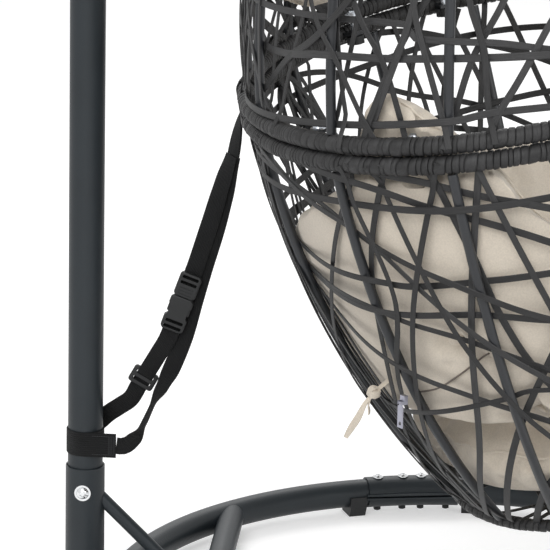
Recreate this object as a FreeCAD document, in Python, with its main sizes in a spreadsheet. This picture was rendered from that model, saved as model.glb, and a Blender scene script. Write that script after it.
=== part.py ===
import FreeCAD, Part
import math
import os

import Sketcher
from FreeCAD import Matrix, Placement, Rotation, Vector

os.makedirs("parts", exist_ok=True)
doc = FreeCAD.newDocument("HangingEggChair")

# Driving sizes in millimetres and degrees. Heights are above the floor, X is across the chair,
# Y runs from the front of the base ring to the pole. Basket heights are measured from the joint
# of its two halves, along the axis of the basket.
SIZES = [
    ("base_radius", 510, "centre line of the base ring"),
    ("base_tube_radius", 21, "base ring tube, outside"),
    ("base_wall", 1.6, "base ring tube wall"),
    ("base_height", 32, "centre line of the base ring above the floor"),
    ("joint_setback", 103, "base ring joints behind the ring's centre"),
    ("joint_gap", 1, "gap between the two arcs of the base ring"),
    ("coupler_length", 147, "coupler along the ring"),
    ("coupler_wall", 2.5, "coupler sheet"),
    ("coupler_clearance", 0.3, "coupler to ring tube"),
    ("coupler_flange", 9, "width of the coupler's side flanges"),
    ("coupler_split", 3, "gap between the coupler's halves"),
    ("inner_bolt_offset", 14.5, "inner coupler bolts from the joint"),
    ("outer_bolt_offset", 54.5, "outer coupler bolts from the joint"),
    ("coupler_bolt_radius", 3, "coupler bolt shank"),
    ("foot_width", 26, "clip foot along the ring"),
    ("foot_wall", 3.5, "clip foot wall"),
    ("foot_gap", 6, "clip foot from the coupler's end"),
    ("front_foot_angle", 35, "front feet from the middle of the front"),
    ("cross_setback", 372, "cross tube behind the ring's centre"),
    ("cross_radius", 19, "cross tube, outside"),
    ("cross_wall", 1.5, "cross tube wall"),
    ("pole_setback", 555, "pole behind the ring's centre"),
    ("pole_radius", 25, "pole tube, outside"),
    ("pole_wall", 1.8, "pole tube wall"),
    ("socket_radius", 28, "socket tube, outside"),
    ("socket_wall", 1.8, "socket tube wall"),
    ("socket_height", 220, "top of the socket"),
    ("socket_foot_height", 8, "plastic foot under the socket"),
    ("socket_foot_spigot", 14, "spigot of the socket foot inside the socket"),
    ("socket_bolt_height", 186, "socket bolt above the floor"),
    ("socket_bolt_radius", 4, "socket bolt shank"),
    ("brace_radius", 9.5, "slanting brace, outside"),
    ("brace_wall", 1.4, "slanting brace wall"),
    ("brace_top", 194, "brace line on the pole's axis"),
    ("pole_joint_height", 1010, "joint of the lower and upper pole"),
    ("neck_length", 90, "reduced neck inside the lower pole"),
    ("neck_clearance", 0.4, "neck to lower pole bore"),
    ("joint_bolt_radius", 3, "pole joint bolt shank"),
    ("joint_bolt_pitch", 45, "pole joint bolts apart"),
    ("arch_radius", 480, "bend of the arch, centre line"),
    ("arch_overhang", 42, "arch past the hanging line"),
    ("hang_setback", -5, "hanging line behind the ring's centre"),
    ("eye_radius", 18, "stand eye ring, centre line"),
    ("eye_rod", 5, "stand eye rod radius"),
    ("link_rod", 4, "snap hook rod radius"),
    ("link_bend", 13, "snap hook bend, centre line"),
    ("link_straight", 54, "snap hook straight side"),
    ("gate_rod", 3.5, "snap hook gate radius"),
    ("gate_length", 28, "snap hook gate"),
    ("gate_clearance", 0.3, "gate to hook"),
    ("ring_rod", 4.5, "spring eye and swivel eye rod radius"),
    ("ring_bend", 15, "spring eye and swivel eye, centre line"),
    ("cap_radius", 22, "spring end fitting"),
    ("cap_height", 6, "spring end fitting"),
    ("coil_radius", 18, "spring coil, centre line"),
    ("wire_radius", 2.25, "spring wire"),
    ("coil_pitch", 8.5, "spring rise for each turn"),
    ("coil_turns", 12, "spring turns"),
    ("swivel_radius", 5, "swivel shank"),
    ("swivel_clearance", 0.05, "swivel shank to its bore"),
    ("swivel_head_radius", 9, "swivel head inside the coil"),
    ("swivel_head_height", 6, "swivel head inside the coil"),
    ("swivel_drop", 8, "swivel shank below the end fitting"),
    ("ring_setback", -16, "middle of the basket's ring behind the base centre"),
    ("ring_height", 834, "middle of the basket's ring above the floor"),
    ("basket_tilt", 10, "lean of the hanging basket towards the pole"),
    ("ring_half_width", 546, "basket ring across, half, centre line"),
    ("ring_half_depth", 350, "basket ring front to back, half, centre line"),
    ("frame_rod", 8, "ring and rim tube of the basket, outside radius"),
    ("frame_wall", 1.4, "ring and rim tube wall"),
    ("wrap_radius", 12, "ring and rim over their wicker wrap"),
    ("wrap_clearance", 0.1, "wicker wrap to tube"),
    ("wrap_gap", 1, "lower ring's wrap to upper ring's wrap"),
    ("rib_rod", 6.5, "rib radius"),
    ("rib_step", 27, "angle from rib to rib"),
    ("ring_end_angle", 20, "front opening meets the rings in front of their middle"),
    ("ring_overrun", 3, "ring ends past the front opening's rims"),
    ("bowl_depth", 585, "bottom ring below the joint"),
    ("bottom_half_depth", 185, "bottom ring front to back, half"),
    ("bottom_rod", 7, "bottom ring with its wrap, radius"),
    ("bowl_bulge", 44, "bowl wall's bow out of a straight line"),
    ("bowl_lean", 0.06, "forward shift of the bowl for each unit of depth"),
    ("rim_drop", 380, "front of the lower rim below the joint"),
    ("dome_height", 625, "crown ring above the joint"),
    ("crown_half_depth", 60, "crown ring front to back, half"),
    ("dome_start", 5, "outward slope of the dome at the ring"),
    ("dome_end", 8, "slope of the dome at the crown"),
    ("upper_rim_top", 585, "top of the upper rim above the joint"),
    ("weave_gap", 8.7, "inside of the weave from the rib's middle line"),
    ("weave_wall", 2.2, "thickness of the weave"),
    ("crown_loop_radius", 18, "crown loop, centre line"),
    ("crown_loop_rod", 5, "crown loop rod radius"),
    ("crown_loop_rise", 12, "crown loop's lowest point above the crown"),
    ("hook_clearance", 0.3, "rod to rod in the hanging chain"),
    ("pad_gap", 9, "cushion to the rib's middle line"),
    ("pad_wrap_gap", 2.5, "cushion to the rings' wrap"),
    ("pad_thickness", 88, "wall cushions in their middle"),
    ("pad_edge", 42, "wall cushions at their edges"),
    ("pad_bottom", 400, "lower end of the wall cushions below the joint"),
    ("back_top", 400, "top of the back cushion above the joint"),
    ("seat_middle", 465, "middle of the seat cushion below the joint"),
    ("seat_top", 404, "crown of the seat cushion below the joint"),
    ("seat_bottom", 556, "underside of the seat cushion below the joint"),
    ("strap_width", 25, "strap webbing"),
    ("strap_thickness", 1.6, "strap webbing"),
    ("band_width", 36, "band round the pole"),
    ("band_height", 258, "middle of the band above the floor"),
    ("band_gap", 0.3, "band to pole"),
]

sheet = doc.addObject("Spreadsheet::Sheet", "Sizes")
for row, (alias, value, note) in enumerate(SIZES, start=1):
    sheet.set(f"A{row}", alias)
    sheet.set(f"B{row}", str(value))
    sheet.set(f"C{row}", note)
    sheet.setAlias(f"B{row}", alias)
doc.recompute()


def size(alias):
    return float(sheet.get(alias))


X_AXIS, Y_AXIS, Z_AXIS = Vector(1, 0, 0), Vector(0, 1, 0), Vector(0, 0, 1)
nodes = {}


def node(label, thing):
    thing.Label = label
    nodes[label] = thing
    return thing


def feature(label, shape, placement=None):
    """A sub-part whose shape comes from Part's own functions, with its sizes read from the sheet."""
    thing = doc.addObject("Part::Feature", label)
    thing.Shape = shape
    thing.Placement = placement or Placement()
    return node(label, thing)


def cell(name):
    return f"Sizes.{name}"


def bind(thing, **formulas):
    for prop, formula in formulas.items():
        thing.setExpression(prop, formula)


def cylinder(name, radius, height, placement=None):
    thing = doc.addObject("Part::Cylinder", name)
    bind(thing, Radius=radius, Height=height)
    thing.Placement = placement or Placement()
    return thing


def cut(name, base, tool):
    thing = doc.addObject("Part::Cut", name)
    thing.Base = base
    thing.Tool = tool
    return thing


def solid_between(start, end, radius):
    run = end - start
    return Part.makeCylinder(radius, run.Length, start, run)


def tube_between(start, end, radius, wall):
    return solid_between(start, end, radius).cut(solid_between(start, end, radius - wall))


# The base ring's centre lies a little in front of the origin, because the origin is under the
# middle of the whole stand, from the ring's front to the socket's back.
base_front = size("base_radius") + size("base_tube_radius")
base_back = size("pole_setback") + size("socket_radius")
base_centre = Vector(0, (base_front - base_back) / 2, 0)


def from_base(x, setback, height):
    return base_centre + Vector(x, setback, height)


# Base ring: two arcs of tube, revolved from one section.
joint_angle = math.degrees(math.asin(size("joint_setback") / size("base_radius")))
gap_angle = math.degrees(size("joint_gap") / size("base_radius"))


def section_circle(sketch, across, up, radius):
    """A circle of the sketch whose centre and radius are bound to the sheet."""
    circle = sketch.addGeometry(Part.Circle(Vector(100, 10, 0), Z_AXIS, 5), False)
    for kind, formula in (("DistanceX", across), ("DistanceY", up)):
        index = sketch.addConstraint(Sketcher.Constraint(kind, -1, 1, circle, 3, 10))
        sketch.setExpression(f"Constraints[{index}]", formula)
    index = sketch.addConstraint(Sketcher.Constraint("Radius", circle, 5))
    sketch.setExpression(f"Constraints[{index}]", radius)
    return circle


def sketch_on(body, role, name):
    sketch = body.newObject("Sketcher::SketchObject", name)
    plane = next(face for face in body.Origin.OriginFeatures if face.Role == role)
    sketch.AttachmentSupport = [(plane, "")]
    sketch.MapMode = "FlatFace"
    return sketch


def ring_arc(label, first_angle, sweep_angle):
    body = doc.addObject("PartDesign::Body", label)
    sketch = sketch_on(body, "XZ_Plane", label + "_section")
    for radius in (cell("base_tube_radius"), f"{cell('base_tube_radius')} - {cell('base_wall')}"):
        section_circle(sketch, cell("base_radius"), cell("base_height"), radius)
    doc.recompute()
    revolution = body.newObject("PartDesign::Revolution", label + "_sweep")
    revolution.Profile = sketch
    revolution.ReferenceAxis = (sketch, ["V_Axis"])
    revolution.Angle = sweep_angle
    doc.recompute()
    starts_forward = revolution.Shape.BoundBox.YMin < -size("base_tube_radius") - 1
    turn = first_angle + sweep_angle if starts_forward and sweep_angle < 180 else first_angle
    revolution.Reversed = bool(revolution.Shape.CenterOfMass.y < 0)
    doc.recompute()
    if revolution.Reversed or not starts_forward:
        turn = first_angle
    body.Placement = Placement(base_centre, Rotation(Z_AXIS, turn))
    node(label, body)


rear_start = joint_angle + gap_angle / 2
rear_sweep = 180 - 2 * joint_angle - gap_angle
ring_arc("base_rear_arc", rear_start, rear_sweep)
ring_arc("base_front_arc", 180 - joint_angle + gap_angle / 2, 180 + 2 * joint_angle - gap_angle)

# The rear arc is notched for the socket tube that is welded into it.
rear_body = nodes["base_rear_arc"]
notch_sketch = sketch_on(rear_body, "XY_Plane", "socket_notch_sketch")
notch_turn = math.radians(90 - rear_start)
notch_across = size("pole_setback") * math.cos(notch_turn)
notch_along = size("pole_setback") * math.sin(notch_turn)
notch = notch_sketch.addGeometry(Part.Circle(Vector(notch_across, notch_along, 0), Z_AXIS, 28), False)
notch_sketch.addConstraint(Sketcher.Constraint("DistanceX", -1, 1, notch, 3, notch_across))
notch_sketch.addConstraint(Sketcher.Constraint("DistanceY", -1, 1, notch, 3, notch_along))
notch_radius = notch_sketch.addConstraint(Sketcher.Constraint("Radius", notch, 28))
notch_sketch.setExpression(f"Constraints[{notch_radius}]", cell("socket_radius"))
doc.recompute()
whole_volume = rear_body.Shape.Volume
notch_cut = rear_body.newObject("PartDesign::Pocket", "socket_notch")
notch_cut.Profile = notch_sketch
notch_cut.Type = "ThroughAll"
notch_cut.Reversed = True
doc.recompute()
if rear_body.Shape.Volume > whole_volume - 1:
    notch_cut.Reversed = False
    doc.recompute()
print("rear arc notch removed", round(whole_volume - rear_body.Shape.Volume), "mm3")


def joint_frame(side):
    """Frame at a joint of the ring: X outwards, Y along the ring towards the back, Z up."""
    angle = joint_angle if side > 0 else 180 - joint_angle
    place = Placement(from_base(0, 0, size("base_height")), Rotation(Z_AXIS, angle))
    return place.multiply(Placement(Vector(size("base_radius"), 0, 0), Rotation()))


# Couplers: an upper and a lower half shell over each joint, clamped by four bolts.
def coupler_half(upper):
    inner = size("base_tube_radius") + size("coupler_clearance")
    outer = inner + size("coupler_wall")
    half_angle = math.degrees(size("coupler_length") / size("base_radius")) / 2
    ring = size("base_radius")

    def bar(radius, spare=0):
        torus = Part.makeTorus(ring, radius, Vector(-ring, 0, 0), Z_AXIS, -180, 180, 2 * (half_angle + spare))
        torus.rotate(Vector(-ring, 0, 0), Z_AXIS, -half_angle - spare)
        return torus

    shell = bar(outer)
    flange_half = outer + size("coupler_flange")
    plate = Part.makeBox(2 * flange_half, size("coupler_length"), size("coupler_wall"))
    plate.translate(Vector(-flange_half, -size("coupler_length") / 2, size("coupler_split") / 2))
    half = 4 * ring
    upper_space = Part.makeBox(half, half, half, Vector(-half / 2, -half / 2, size("coupler_split") / 2))
    shell = shell.common(upper_space).fuse(plate).cut(bar(inner, 2))
    if not upper:
        shell = shell.mirror(Vector(0, 0, 0), Z_AXIS)
    return shell.removeSplitter()


def bolt_places():
    """Where the coupler bolts stand: two rows of flange bolts would hide, so they pass the tube's middle."""
    inner, outer = size("inner_bolt_offset"), size("outer_bolt_offset")
    places = []
    for side in (1, -1):
        for offset in (-outer, -inner, inner, outer):
            bend = math.degrees(offset / size("base_radius"))
            turn = Placement(Vector(-size("base_radius"), 0, 0), Rotation(Z_AXIS, bend))
            there = turn.multiply(Placement(Vector(size("base_radius"), 0, 0), Rotation()))
            places.append(joint_frame(side).multiply(there))
    return places


bolt_bore = size("coupler_bolt_radius") + 0.2
shell_top = size("base_tube_radius") + size("coupler_clearance") + size("coupler_wall")


def drill(shape, places, radius, reach):
    tools = []
    for place in places:
        tool = Part.makeCylinder(radius, 2 * reach, Vector(0, 0, -reach), Z_AXIS)
        tool.Placement = place
        tools.append(tool)
    return shape.cut(tools)


local_bolts = []
for offset in (-1, -size("inner_bolt_offset") / size("outer_bolt_offset"),
               size("inner_bolt_offset") / size("outer_bolt_offset"), 1):
    turn = Rotation(Z_AXIS, math.degrees(offset * size("outer_bolt_offset") / size("base_radius")))
    pivot = Placement(Vector(-size("base_radius"), 0, 0), turn)
    local_bolts.append(pivot.multiply(Placement(Vector(size("base_radius"), 0, 0), Rotation())))
upper_half = drill(coupler_half(True), local_bolts, bolt_bore, 2 * shell_top)
lower_half = drill(coupler_half(False), local_bolts, bolt_bore, 2 * shell_top)
both_joints = [joint_frame(1), joint_frame(-1)]

# The arcs are drilled for the coupler bolts.
for label in ("base_rear_arc", "base_front_arc"):
    source = nodes.pop(label)
    drilled = drill(source.Shape, bolt_places(), bolt_bore, 2 * shell_top)
    source.Label = label + "_bent"
    feature(label, drilled)


def domed_bolt(head_radius, head_height, flange_height, shank_radius, length):
    """A bolt along -Z with a domed, flanged head that sits on the plane Z = 0."""
    dome_radius = (head_radius ** 2 + head_height ** 2) / (2 * head_height)
    dome = Part.makeSphere(dome_radius, Vector(0, 0, flange_height + head_height - dome_radius))
    above = Part.makeCylinder(head_radius, head_height, Vector(0, 0, flange_height), Z_AXIS)
    head = dome.common(above)
    flange = Part.makeCylinder(head_radius * 1.3, flange_height)
    shank = Part.makeCylinder(shank_radius, length, Vector(0, 0, -length), Z_AXIS)
    hexagon = hex_prism(head_radius * 0.45, head_height * 0.6)
    hexagon.translate(Vector(0, 0, flange_height + head_height * 0.55))
    return head.fuse([flange, shank]).cut(hexagon).removeSplitter()


def hex_prism(radius, height):
    corners = [Vector(radius * math.cos(math.radians(60 * k)), radius * math.sin(math.radians(60 * k)), 0)
               for k in range(7)]
    return Part.Face(Part.makePolygon(corners)).extrude(Vector(0, 0, height))


def hex_nut(shank_radius, height):
    """A nut whose top face is the plane Z = 0, hanging below it, with a running fit on its bolt."""
    nut = hex_prism(shank_radius * 1.95, height)
    nut.translate(Vector(0, 0, -height))
    return nut.cut(Part.makeCylinder(shank_radius + 0.02, 3 * height, Vector(0, 0, -2 * height), Z_AXIS))


def group(shape, places):
    copies = []
    for place in places:
        copy = shape.copy()
        copy.Placement = place
        copies.append(copy)
    return Part.makeCompound(copies)


feature("coupler_uppers", group(upper_half, both_joints))
feature("coupler_lowers", group(lower_half, both_joints))
bolt_length = 2 * shell_top + 7
head_seat = Placement(Vector(0, 0, shell_top), Rotation())
nut_seat = Placement(Vector(0, 0, -shell_top), Rotation())
coupler_bolt = domed_bolt(6.5, 3.5, 1, size("coupler_bolt_radius"), bolt_length)
feature("coupler_bolts", group(coupler_bolt, [p.multiply(head_seat) for p in bolt_places()]))
coupler_nut = hex_nut(size("coupler_bolt_radius"), 5)
feature("coupler_nuts", group(coupler_nut, [p.multiply(nut_seat) for p in bolt_places()]))


# Clip feet hug the lower half of the ring tube and stand on the floor.
def clip_foot():
    tube = size("base_tube_radius")
    outer = tube + size("foot_wall")
    width = size("foot_width")
    ring = size("base_radius")
    height = size("base_height")
    block = Part.makeBox(2 * outer, width, height, Vector(-outer, -width / 2, -height), Z_AXIS)
    pad_half = outer * 0.72
    for side in (1, -1):
        corner = [Vector(side * outer * 1.01, 0, -height * 1.01),
                  Vector(side * outer * 1.01, 0, -tube * 0.75),
                  Vector(side * pad_half, 0, -height * 1.01)]
        wedge = Part.Face(Part.makePolygon(corner + corner[:1])).extrude(Vector(0, 2 * width, 0))
        wedge.translate(Vector(0, -width, 0))
        block = block.cut(wedge)
    bore = Part.makeTorus(ring, tube + 0.1, Vector(-ring, 0, 0), Z_AXIS)
    return block.cut(bore)


foot_offset = size("coupler_length") / 2 + size("foot_gap") + size("foot_width") / 2
half_coupler_angle = math.degrees(foot_offset / size("base_radius"))
foot_angles = [joint_angle + half_coupler_angle, joint_angle - half_coupler_angle,
               180 - joint_angle - half_coupler_angle, 180 - joint_angle + half_coupler_angle,
               270 - size("front_foot_angle"), 270 + size("front_foot_angle")]
foot_places = []
for angle in foot_angles:
    turn = Placement(from_base(0, 0, size("base_height")), Rotation(Z_AXIS, angle))
    foot_places.append(turn.multiply(Placement(Vector(size("base_radius"), 0, 0), Rotation())))
feature("base_feet", group(clip_foot(), foot_places))

# Cross tube and brace, coped to the tubes that they meet.
pole_foot = from_base(0, size("pole_setback"), 0)
cross_half = math.sqrt(size("base_radius") ** 2 - size("cross_setback") ** 2)
cross_ends = [from_base(side * cross_half, size("cross_setback"), size("base_height")) for side in (-1, 1)]
ring_solid = Part.makeTorus(size("base_radius"), size("base_tube_radius") + 0.05,
                            from_base(0, 0, size("base_height")), Z_AXIS)
cross_tube = tube_between(cross_ends[0], cross_ends[1], size("cross_radius"), size("cross_wall"))
feature("cross_tube", cross_tube.cut(ring_solid))

brace_foot = from_base(0, size("cross_setback") + 8, size("base_height") - 10)
brace_head = pole_foot + Vector(0, 0, size("brace_top"))
socket_solid = Part.makeCylinder(size("socket_radius") + 0.05, size("socket_height"), pole_foot, Z_AXIS)
cross_solid = solid_between(cross_ends[0], cross_ends[1], size("cross_radius") + 0.05)
brace = tube_between(brace_foot, brace_head, size("brace_radius"), size("brace_wall"))
feature("pole_brace", brace.cut([socket_solid, cross_solid]))

# Socket: a tube with a plastic foot under it, cross-drilled for its bolt.
socket_outer = cylinder("socket_outer", cell("socket_radius"),
                        f"{cell('socket_height')} - {cell('socket_foot_height')}")
socket_inner = cylinder("socket_inner", f"{cell('socket_radius')} - {cell('socket_wall')}",
                        cell("socket_height"))
socket_bored = cut("socket_bored", socket_outer, socket_inner)
bolt_rise = f"{cell('socket_bolt_height')} - {cell('socket_foot_height')}"
across = Placement(Vector(-100, 0, 0), Rotation(Y_AXIS, 90))
socket_drill = cylinder("socket_drill", f"{cell('socket_bolt_radius')} + 0.2", "200", across)
socket_drill.setExpression("Placement.Base.z", bolt_rise)
socket = cut("pole_socket", socket_bored, socket_drill)
socket.Placement = Placement(pole_foot + Vector(0, 0, size("socket_foot_height")), Rotation())
node("pole_socket", socket)

foot_disc = cylinder("foot_disc", cell("socket_radius"), cell("socket_foot_height"))
foot_spigot = cylinder("foot_spigot", f"{cell('socket_radius')} - {cell('socket_wall')} - 0.1",
                       f"{cell('socket_foot_height')} + {cell('socket_foot_spigot')}")
socket_foot = doc.addObject("Part::Fuse", "socket_foot")
socket_foot.Base = foot_disc
socket_foot.Tool = foot_spigot
socket_foot.Placement = Placement(pole_foot, Rotation())
node("socket_foot", socket_foot)

# Pole: the lower tube stands on the socket foot, the arched upper tube plugs into it.
pole_bottom = size("socket_foot_height") + size("socket_foot_spigot")
spigot_top = f"{cell('socket_foot_height')} - {cell('socket_foot_spigot')}"
lower_outer = cylinder("lower_pole_outer", cell("pole_radius"), f"{cell('pole_joint_height')} - {spigot_top}")
lower_inner = cylinder("lower_pole_inner", f"{cell('pole_radius')} - {cell('pole_wall')}",
                       cell("pole_joint_height"))
lower_bored = cut("lower_pole_bored", lower_outer, lower_inner)
drills = []
upper_joint_bolt = size("pole_joint_height") + 20 - size("joint_bolt_pitch")
joint_bolt_heights = [upper_joint_bolt, upper_joint_bolt - size("joint_bolt_pitch")]
for k, height in enumerate([size("socket_bolt_height")] + joint_bolt_heights):
    radius = cell("socket_bolt_radius") if k == 0 else cell("joint_bolt_radius")
    place = Placement(Vector(-100, 0, height - pole_bottom), Rotation(Y_AXIS, 90))
    drills.append(cylinder(f"lower_pole_drill_{k}", f"{radius} + 0.2", "200", place))
pole_holes = doc.addObject("Part::MultiFuse", "lower_pole_holes")
pole_holes.Shapes = drills
lower_pole = cut("lower_pole", lower_bored, pole_holes)
lower_pole.Placement = Placement(pole_foot + Vector(0, 0, pole_bottom), Rotation())
node("lower_pole", lower_pole)


# Arcs through space: two tangent arcs join any two points with given directions.
def arc_from(start, corner, end):
    """The arc from start to end whose end tangents meet at corner."""
    middle = (start + end) * 0.5
    half_chord = (end - start).Length / 2
    to_corner = corner - middle
    if to_corner.Length < 1e-6:
        return Part.LineSegment(start, end).toShape()
    bow = half_chord * math.tan(math.atan2(to_corner.Length, half_chord) / 2)
    return Part.Arc(start, middle + to_corner.normalize() * bow, end).toShape()


def biarc(start, start_way, end, end_way):
    start_way = Vector(start_way).normalize()
    end_way = Vector(end_way).normalize()
    gap = end - start
    both = start_way + end_way
    square = 2 * (1 - start_way.dot(end_way))
    if square < 1e-9:
        reach = gap.dot(gap) / (4 * gap.dot(end_way))
    else:
        reach = (math.sqrt(gap.dot(both) ** 2 + square * gap.dot(gap)) - gap.dot(both)) / square
    first_corner = start + start_way * reach
    second_corner = end - end_way * reach
    middle = (first_corner + second_corner) * 0.5
    return [arc_from(start, first_corner, middle), arc_from(middle, second_corner, end)]


def smooth_path(points, ways):
    edges = []
    for k in range(len(points) - 1):
        edges += biarc(points[k], ways[k], points[k + 1], ways[k + 1])
    return edges


def swept(edges, radius):
    """A round bar along tangent edges."""
    first = edges[0]
    start = first.valueAt(first.FirstParameter)
    way = first.tangentAt(first.FirstParameter)
    section = Part.Wire([Part.Circle(start, way, radius).toShape()])
    return Part.Wire(edges).makePipeShell([section], True, False)


def swept_tube(edges, radius, inner_radius):
    return swept(edges, radius).cut(swept(edges, inner_radius))


# Hanging chain, from the crown of the basket up to the arch.
tilt = math.radians(size("basket_tilt"))
basket = Placement(from_base(0, size("ring_setback"), size("ring_height")),
                   Rotation(X_AXIS, -size("basket_tilt")))
hang = from_base(0, size("hang_setback"), 0)
hang_offset = size("hang_setback") - size("ring_setback")
crown_setback = (hang_offset - size("dome_height") * math.sin(tilt)) / math.cos(tilt)
crown_lean = crown_setback / size("dome_height")
crown = basket.multVec(Vector(0, crown_setback, size("dome_height")))
clear = size("hook_clearance")
loop_middle = crown.z + size("crown_loop_rise") + size("crown_loop_radius") + size("crown_loop_rod")
loop_top = loop_middle + size("crown_loop_radius")


def at_hang(height, turn=None):
    return Placement(Vector(hang.x, hang.y, height), turn or Rotation())


link_span = size("link_straight") + 2 * size("link_bend")
lower_link_bottom = loop_top - clear - size("crown_loop_rod") - size("link_rod")
lower_link_top = lower_link_bottom + link_span
swivel_ring_bottom = lower_link_top - clear - size("link_rod") - size("ring_rod")
swivel_ring_middle = swivel_ring_bottom + size("ring_bend")
lower_cap_bottom = swivel_ring_middle + size("ring_bend") + size("swivel_drop")
lower_cap_top = lower_cap_bottom + size("cap_height")
coil_height = size("coil_pitch") * size("coil_turns") + 2 * size("wire_radius") + 2 * clear
upper_cap_bottom = lower_cap_top + coil_height
upper_cap_top = upper_cap_bottom + size("cap_height")
top_eye_middle = upper_cap_top + size("swivel_drop") + size("ring_bend")
top_eye_top = top_eye_middle + size("ring_bend")
upper_link_bottom = top_eye_top - clear - size("ring_rod") - size("link_rod")
upper_link_top = upper_link_bottom + link_span
stand_eye_bottom = upper_link_top - clear - size("link_rod") - size("eye_rod")
stand_eye_middle = stand_eye_bottom + size("eye_radius")
arch_height = stand_eye_middle + size("eye_radius") - size("eye_rod") / 2 + size("pole_radius")

# Upper pole with its arch.
inner_pole = size("pole_radius") - size("pole_wall")
neck_radius = inner_pole - size("neck_clearance")
joint_point = pole_foot + Vector(0, 0, size("pole_joint_height"))
bend_start = Vector(pole_foot.x, pole_foot.y, arch_height - size("arch_radius"))
bend_end = Vector(pole_foot.x, pole_foot.y - size("arch_radius"), arch_height)
bend_corner = Vector(pole_foot.x, pole_foot.y, arch_height)
arch_end = Vector(pole_foot.x, hang.y - size("arch_overhang"), arch_height)
pole_path = [Part.LineSegment(joint_point, bend_start).toShape(), arc_from(bend_start, bend_corner, bend_end),
             Part.LineSegment(bend_end, arch_end).toShape()]
neck_bottom = joint_point - Vector(0, 0, size("neck_length"))
neck = tube_between(neck_bottom, joint_point + Vector(0, 0, 2), neck_radius, size("pole_wall"))
upper_tube = swept_tube(pole_path, size("pole_radius"), neck_radius - size("pole_wall"))
upper_tube = upper_tube.fuse(neck)
for height in joint_bolt_heights:
    start = Vector(pole_foot.x - 100, pole_foot.y, height)
    upper_tube = upper_tube.cut(Part.makeCylinder(size("joint_bolt_radius") + 0.2, 200, start, X_AXIS))
feature("upper_pole", upper_tube)
print("arch height", round(arch_height, 1), "overall height", round(arch_height + size("pole_radius"), 1))

# Bolts across the pole: heads on the left side, nuts on the right.
bolt_turn = Rotation(Y_AXIS, -90)


def cross_bolts(label, nut_label, outer_radius, shank_radius, head_radius, head_height, heights):
    long_enough = 2 * outer_radius + shank_radius * 2.2
    bolt = domed_bolt(head_radius, head_height, 1.5, shank_radius, long_enough)
    nut = hex_nut(shank_radius, shank_radius * 1.7)
    left = [Placement(Vector(pole_foot.x - outer_radius, pole_foot.y, h), bolt_turn) for h in heights]
    right = [Placement(Vector(pole_foot.x + outer_radius, pole_foot.y, h), bolt_turn) for h in heights]
    feature(label, group(bolt, left))
    feature(nut_label, group(nut, right))


cross_bolts("socket_bolt", "socket_nut", size("socket_radius") + 0.1, size("socket_bolt_radius"), 9, 5.5,
            [size("socket_bolt_height")])
cross_bolts("pole_joint_bolts", "pole_joint_nuts", size("pole_radius") + 0.1, size("joint_bolt_radius"),
            6.5, 4, joint_bolt_heights)

# End cap of the arch: a disc with a spigot, revolved.
cap_body = doc.addObject("PartDesign::Body", "arch_end_cap")
cap_sketch = sketch_on(cap_body, "XZ_Plane", "arch_end_cap_section")
spigot = neck_radius - size("pole_wall") - 0.1
profile = [Vector(0, -25, 0), Vector(spigot, -25, 0), Vector(spigot, 0, 0), Vector(size("pole_radius"), 0, 0),
           Vector(size("pole_radius"), 3, 0), Vector(size("pole_radius") - 6, 7, 0), Vector(0, 8, 0)]
for k, point in enumerate(profile):
    cap_sketch.addGeometry(Part.LineSegment(point, profile[(k + 1) % len(profile)]), False)
for k in range(len(profile)):
    cap_sketch.addConstraint(Sketcher.Constraint("Coincident", k, 2, (k + 1) % len(profile), 1))
doc.recompute()
cap_turn = cap_body.newObject("PartDesign::Revolution", "arch_end_cap_turn")
cap_turn.Profile = cap_sketch
cap_turn.ReferenceAxis = (cap_sketch, ["V_Axis"])
cap_turn.Angle = 360
cap_body.Placement = Placement(arch_end, Rotation(X_AXIS, 90))
node("arch_end_cap", cap_body)

# Stand eye, welded under the arch.
eye_turn = Rotation(X_AXIS, 90)
arch_bar = solid_between(Vector(0, hang.y - 60, arch_height), Vector(0, hang.y + 60, arch_height),
                         size("pole_radius") + 0.05)
stand_eye = Part.makeTorus(size("eye_radius"), size("eye_rod"), Vector(0, 0, 0), Z_AXIS)
stand_eye.Placement = at_hang(stand_eye_middle, eye_turn)
feature("stand_eye", stand_eye.cut(arch_bar))


# Snap hooks: a rod bent round in the plane X = 0, with a gap that its gate closes.
def snap_hook(label, top_height, gate_side):
    """The hook's rod and its gate, whose pivot is at the lower end of the gap. Returns the pivot."""
    bend, straight = size("link_bend"), size("link_straight")
    upper = top_height - bend
    lower = upper - straight
    gate_low = lower + (straight - size("gate_length")) / 2
    gate_high = gate_low + size("gate_length")
    far, near = -gate_side * bend, gate_side * bend
    points = [Vector(0, near, gate_high), Vector(0, near, upper), Vector(0, far, upper),
              Vector(0, far, lower), Vector(0, near, lower), Vector(0, near, gate_low)]
    edges = [Part.LineSegment(points[0], points[1]).toShape(),
             Part.Arc(points[1], Vector(0, 0, upper + bend), points[2]).toShape(),
             Part.LineSegment(points[2], points[3]).toShape(),
             Part.Arc(points[3], Vector(0, 0, lower - bend), points[4]).toShape(),
             Part.LineSegment(points[4], points[5]).toShape()]
    feature(label, swept(edges, size("link_rod")), at_hang(0))
    radius = size("gate_rod")
    pivot = gate_low + size("gate_clearance") + radius
    ball = Part.makeSphere(radius, Vector(0, near, pivot))
    top = gate_high - size("gate_clearance") - radius * radius / (2 * size("gate_length"))
    rod = Part.makeCylinder(radius, top - pivot, Vector(0, near, pivot), Z_AXIS)
    feature(label.replace("hook", "gate"), rod.fuse(ball).removeSplitter(), at_hang(0))
    return at_hang(0).multVec(Vector(0, near, pivot))


upper_gate_pivot = snap_hook("upper_snap_hook", upper_link_top, -1)
lower_gate_pivot = snap_hook("lower_snap_hook", lower_link_top, -1)


# Spring between its two end fittings.
def eye_ring(middle_height):
    ring = Part.makeTorus(size("ring_bend"), size("ring_rod"), Vector(0, 0, 0), Z_AXIS)
    ring.Placement = Placement(Vector(0, 0, middle_height), eye_turn)
    return ring


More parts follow.
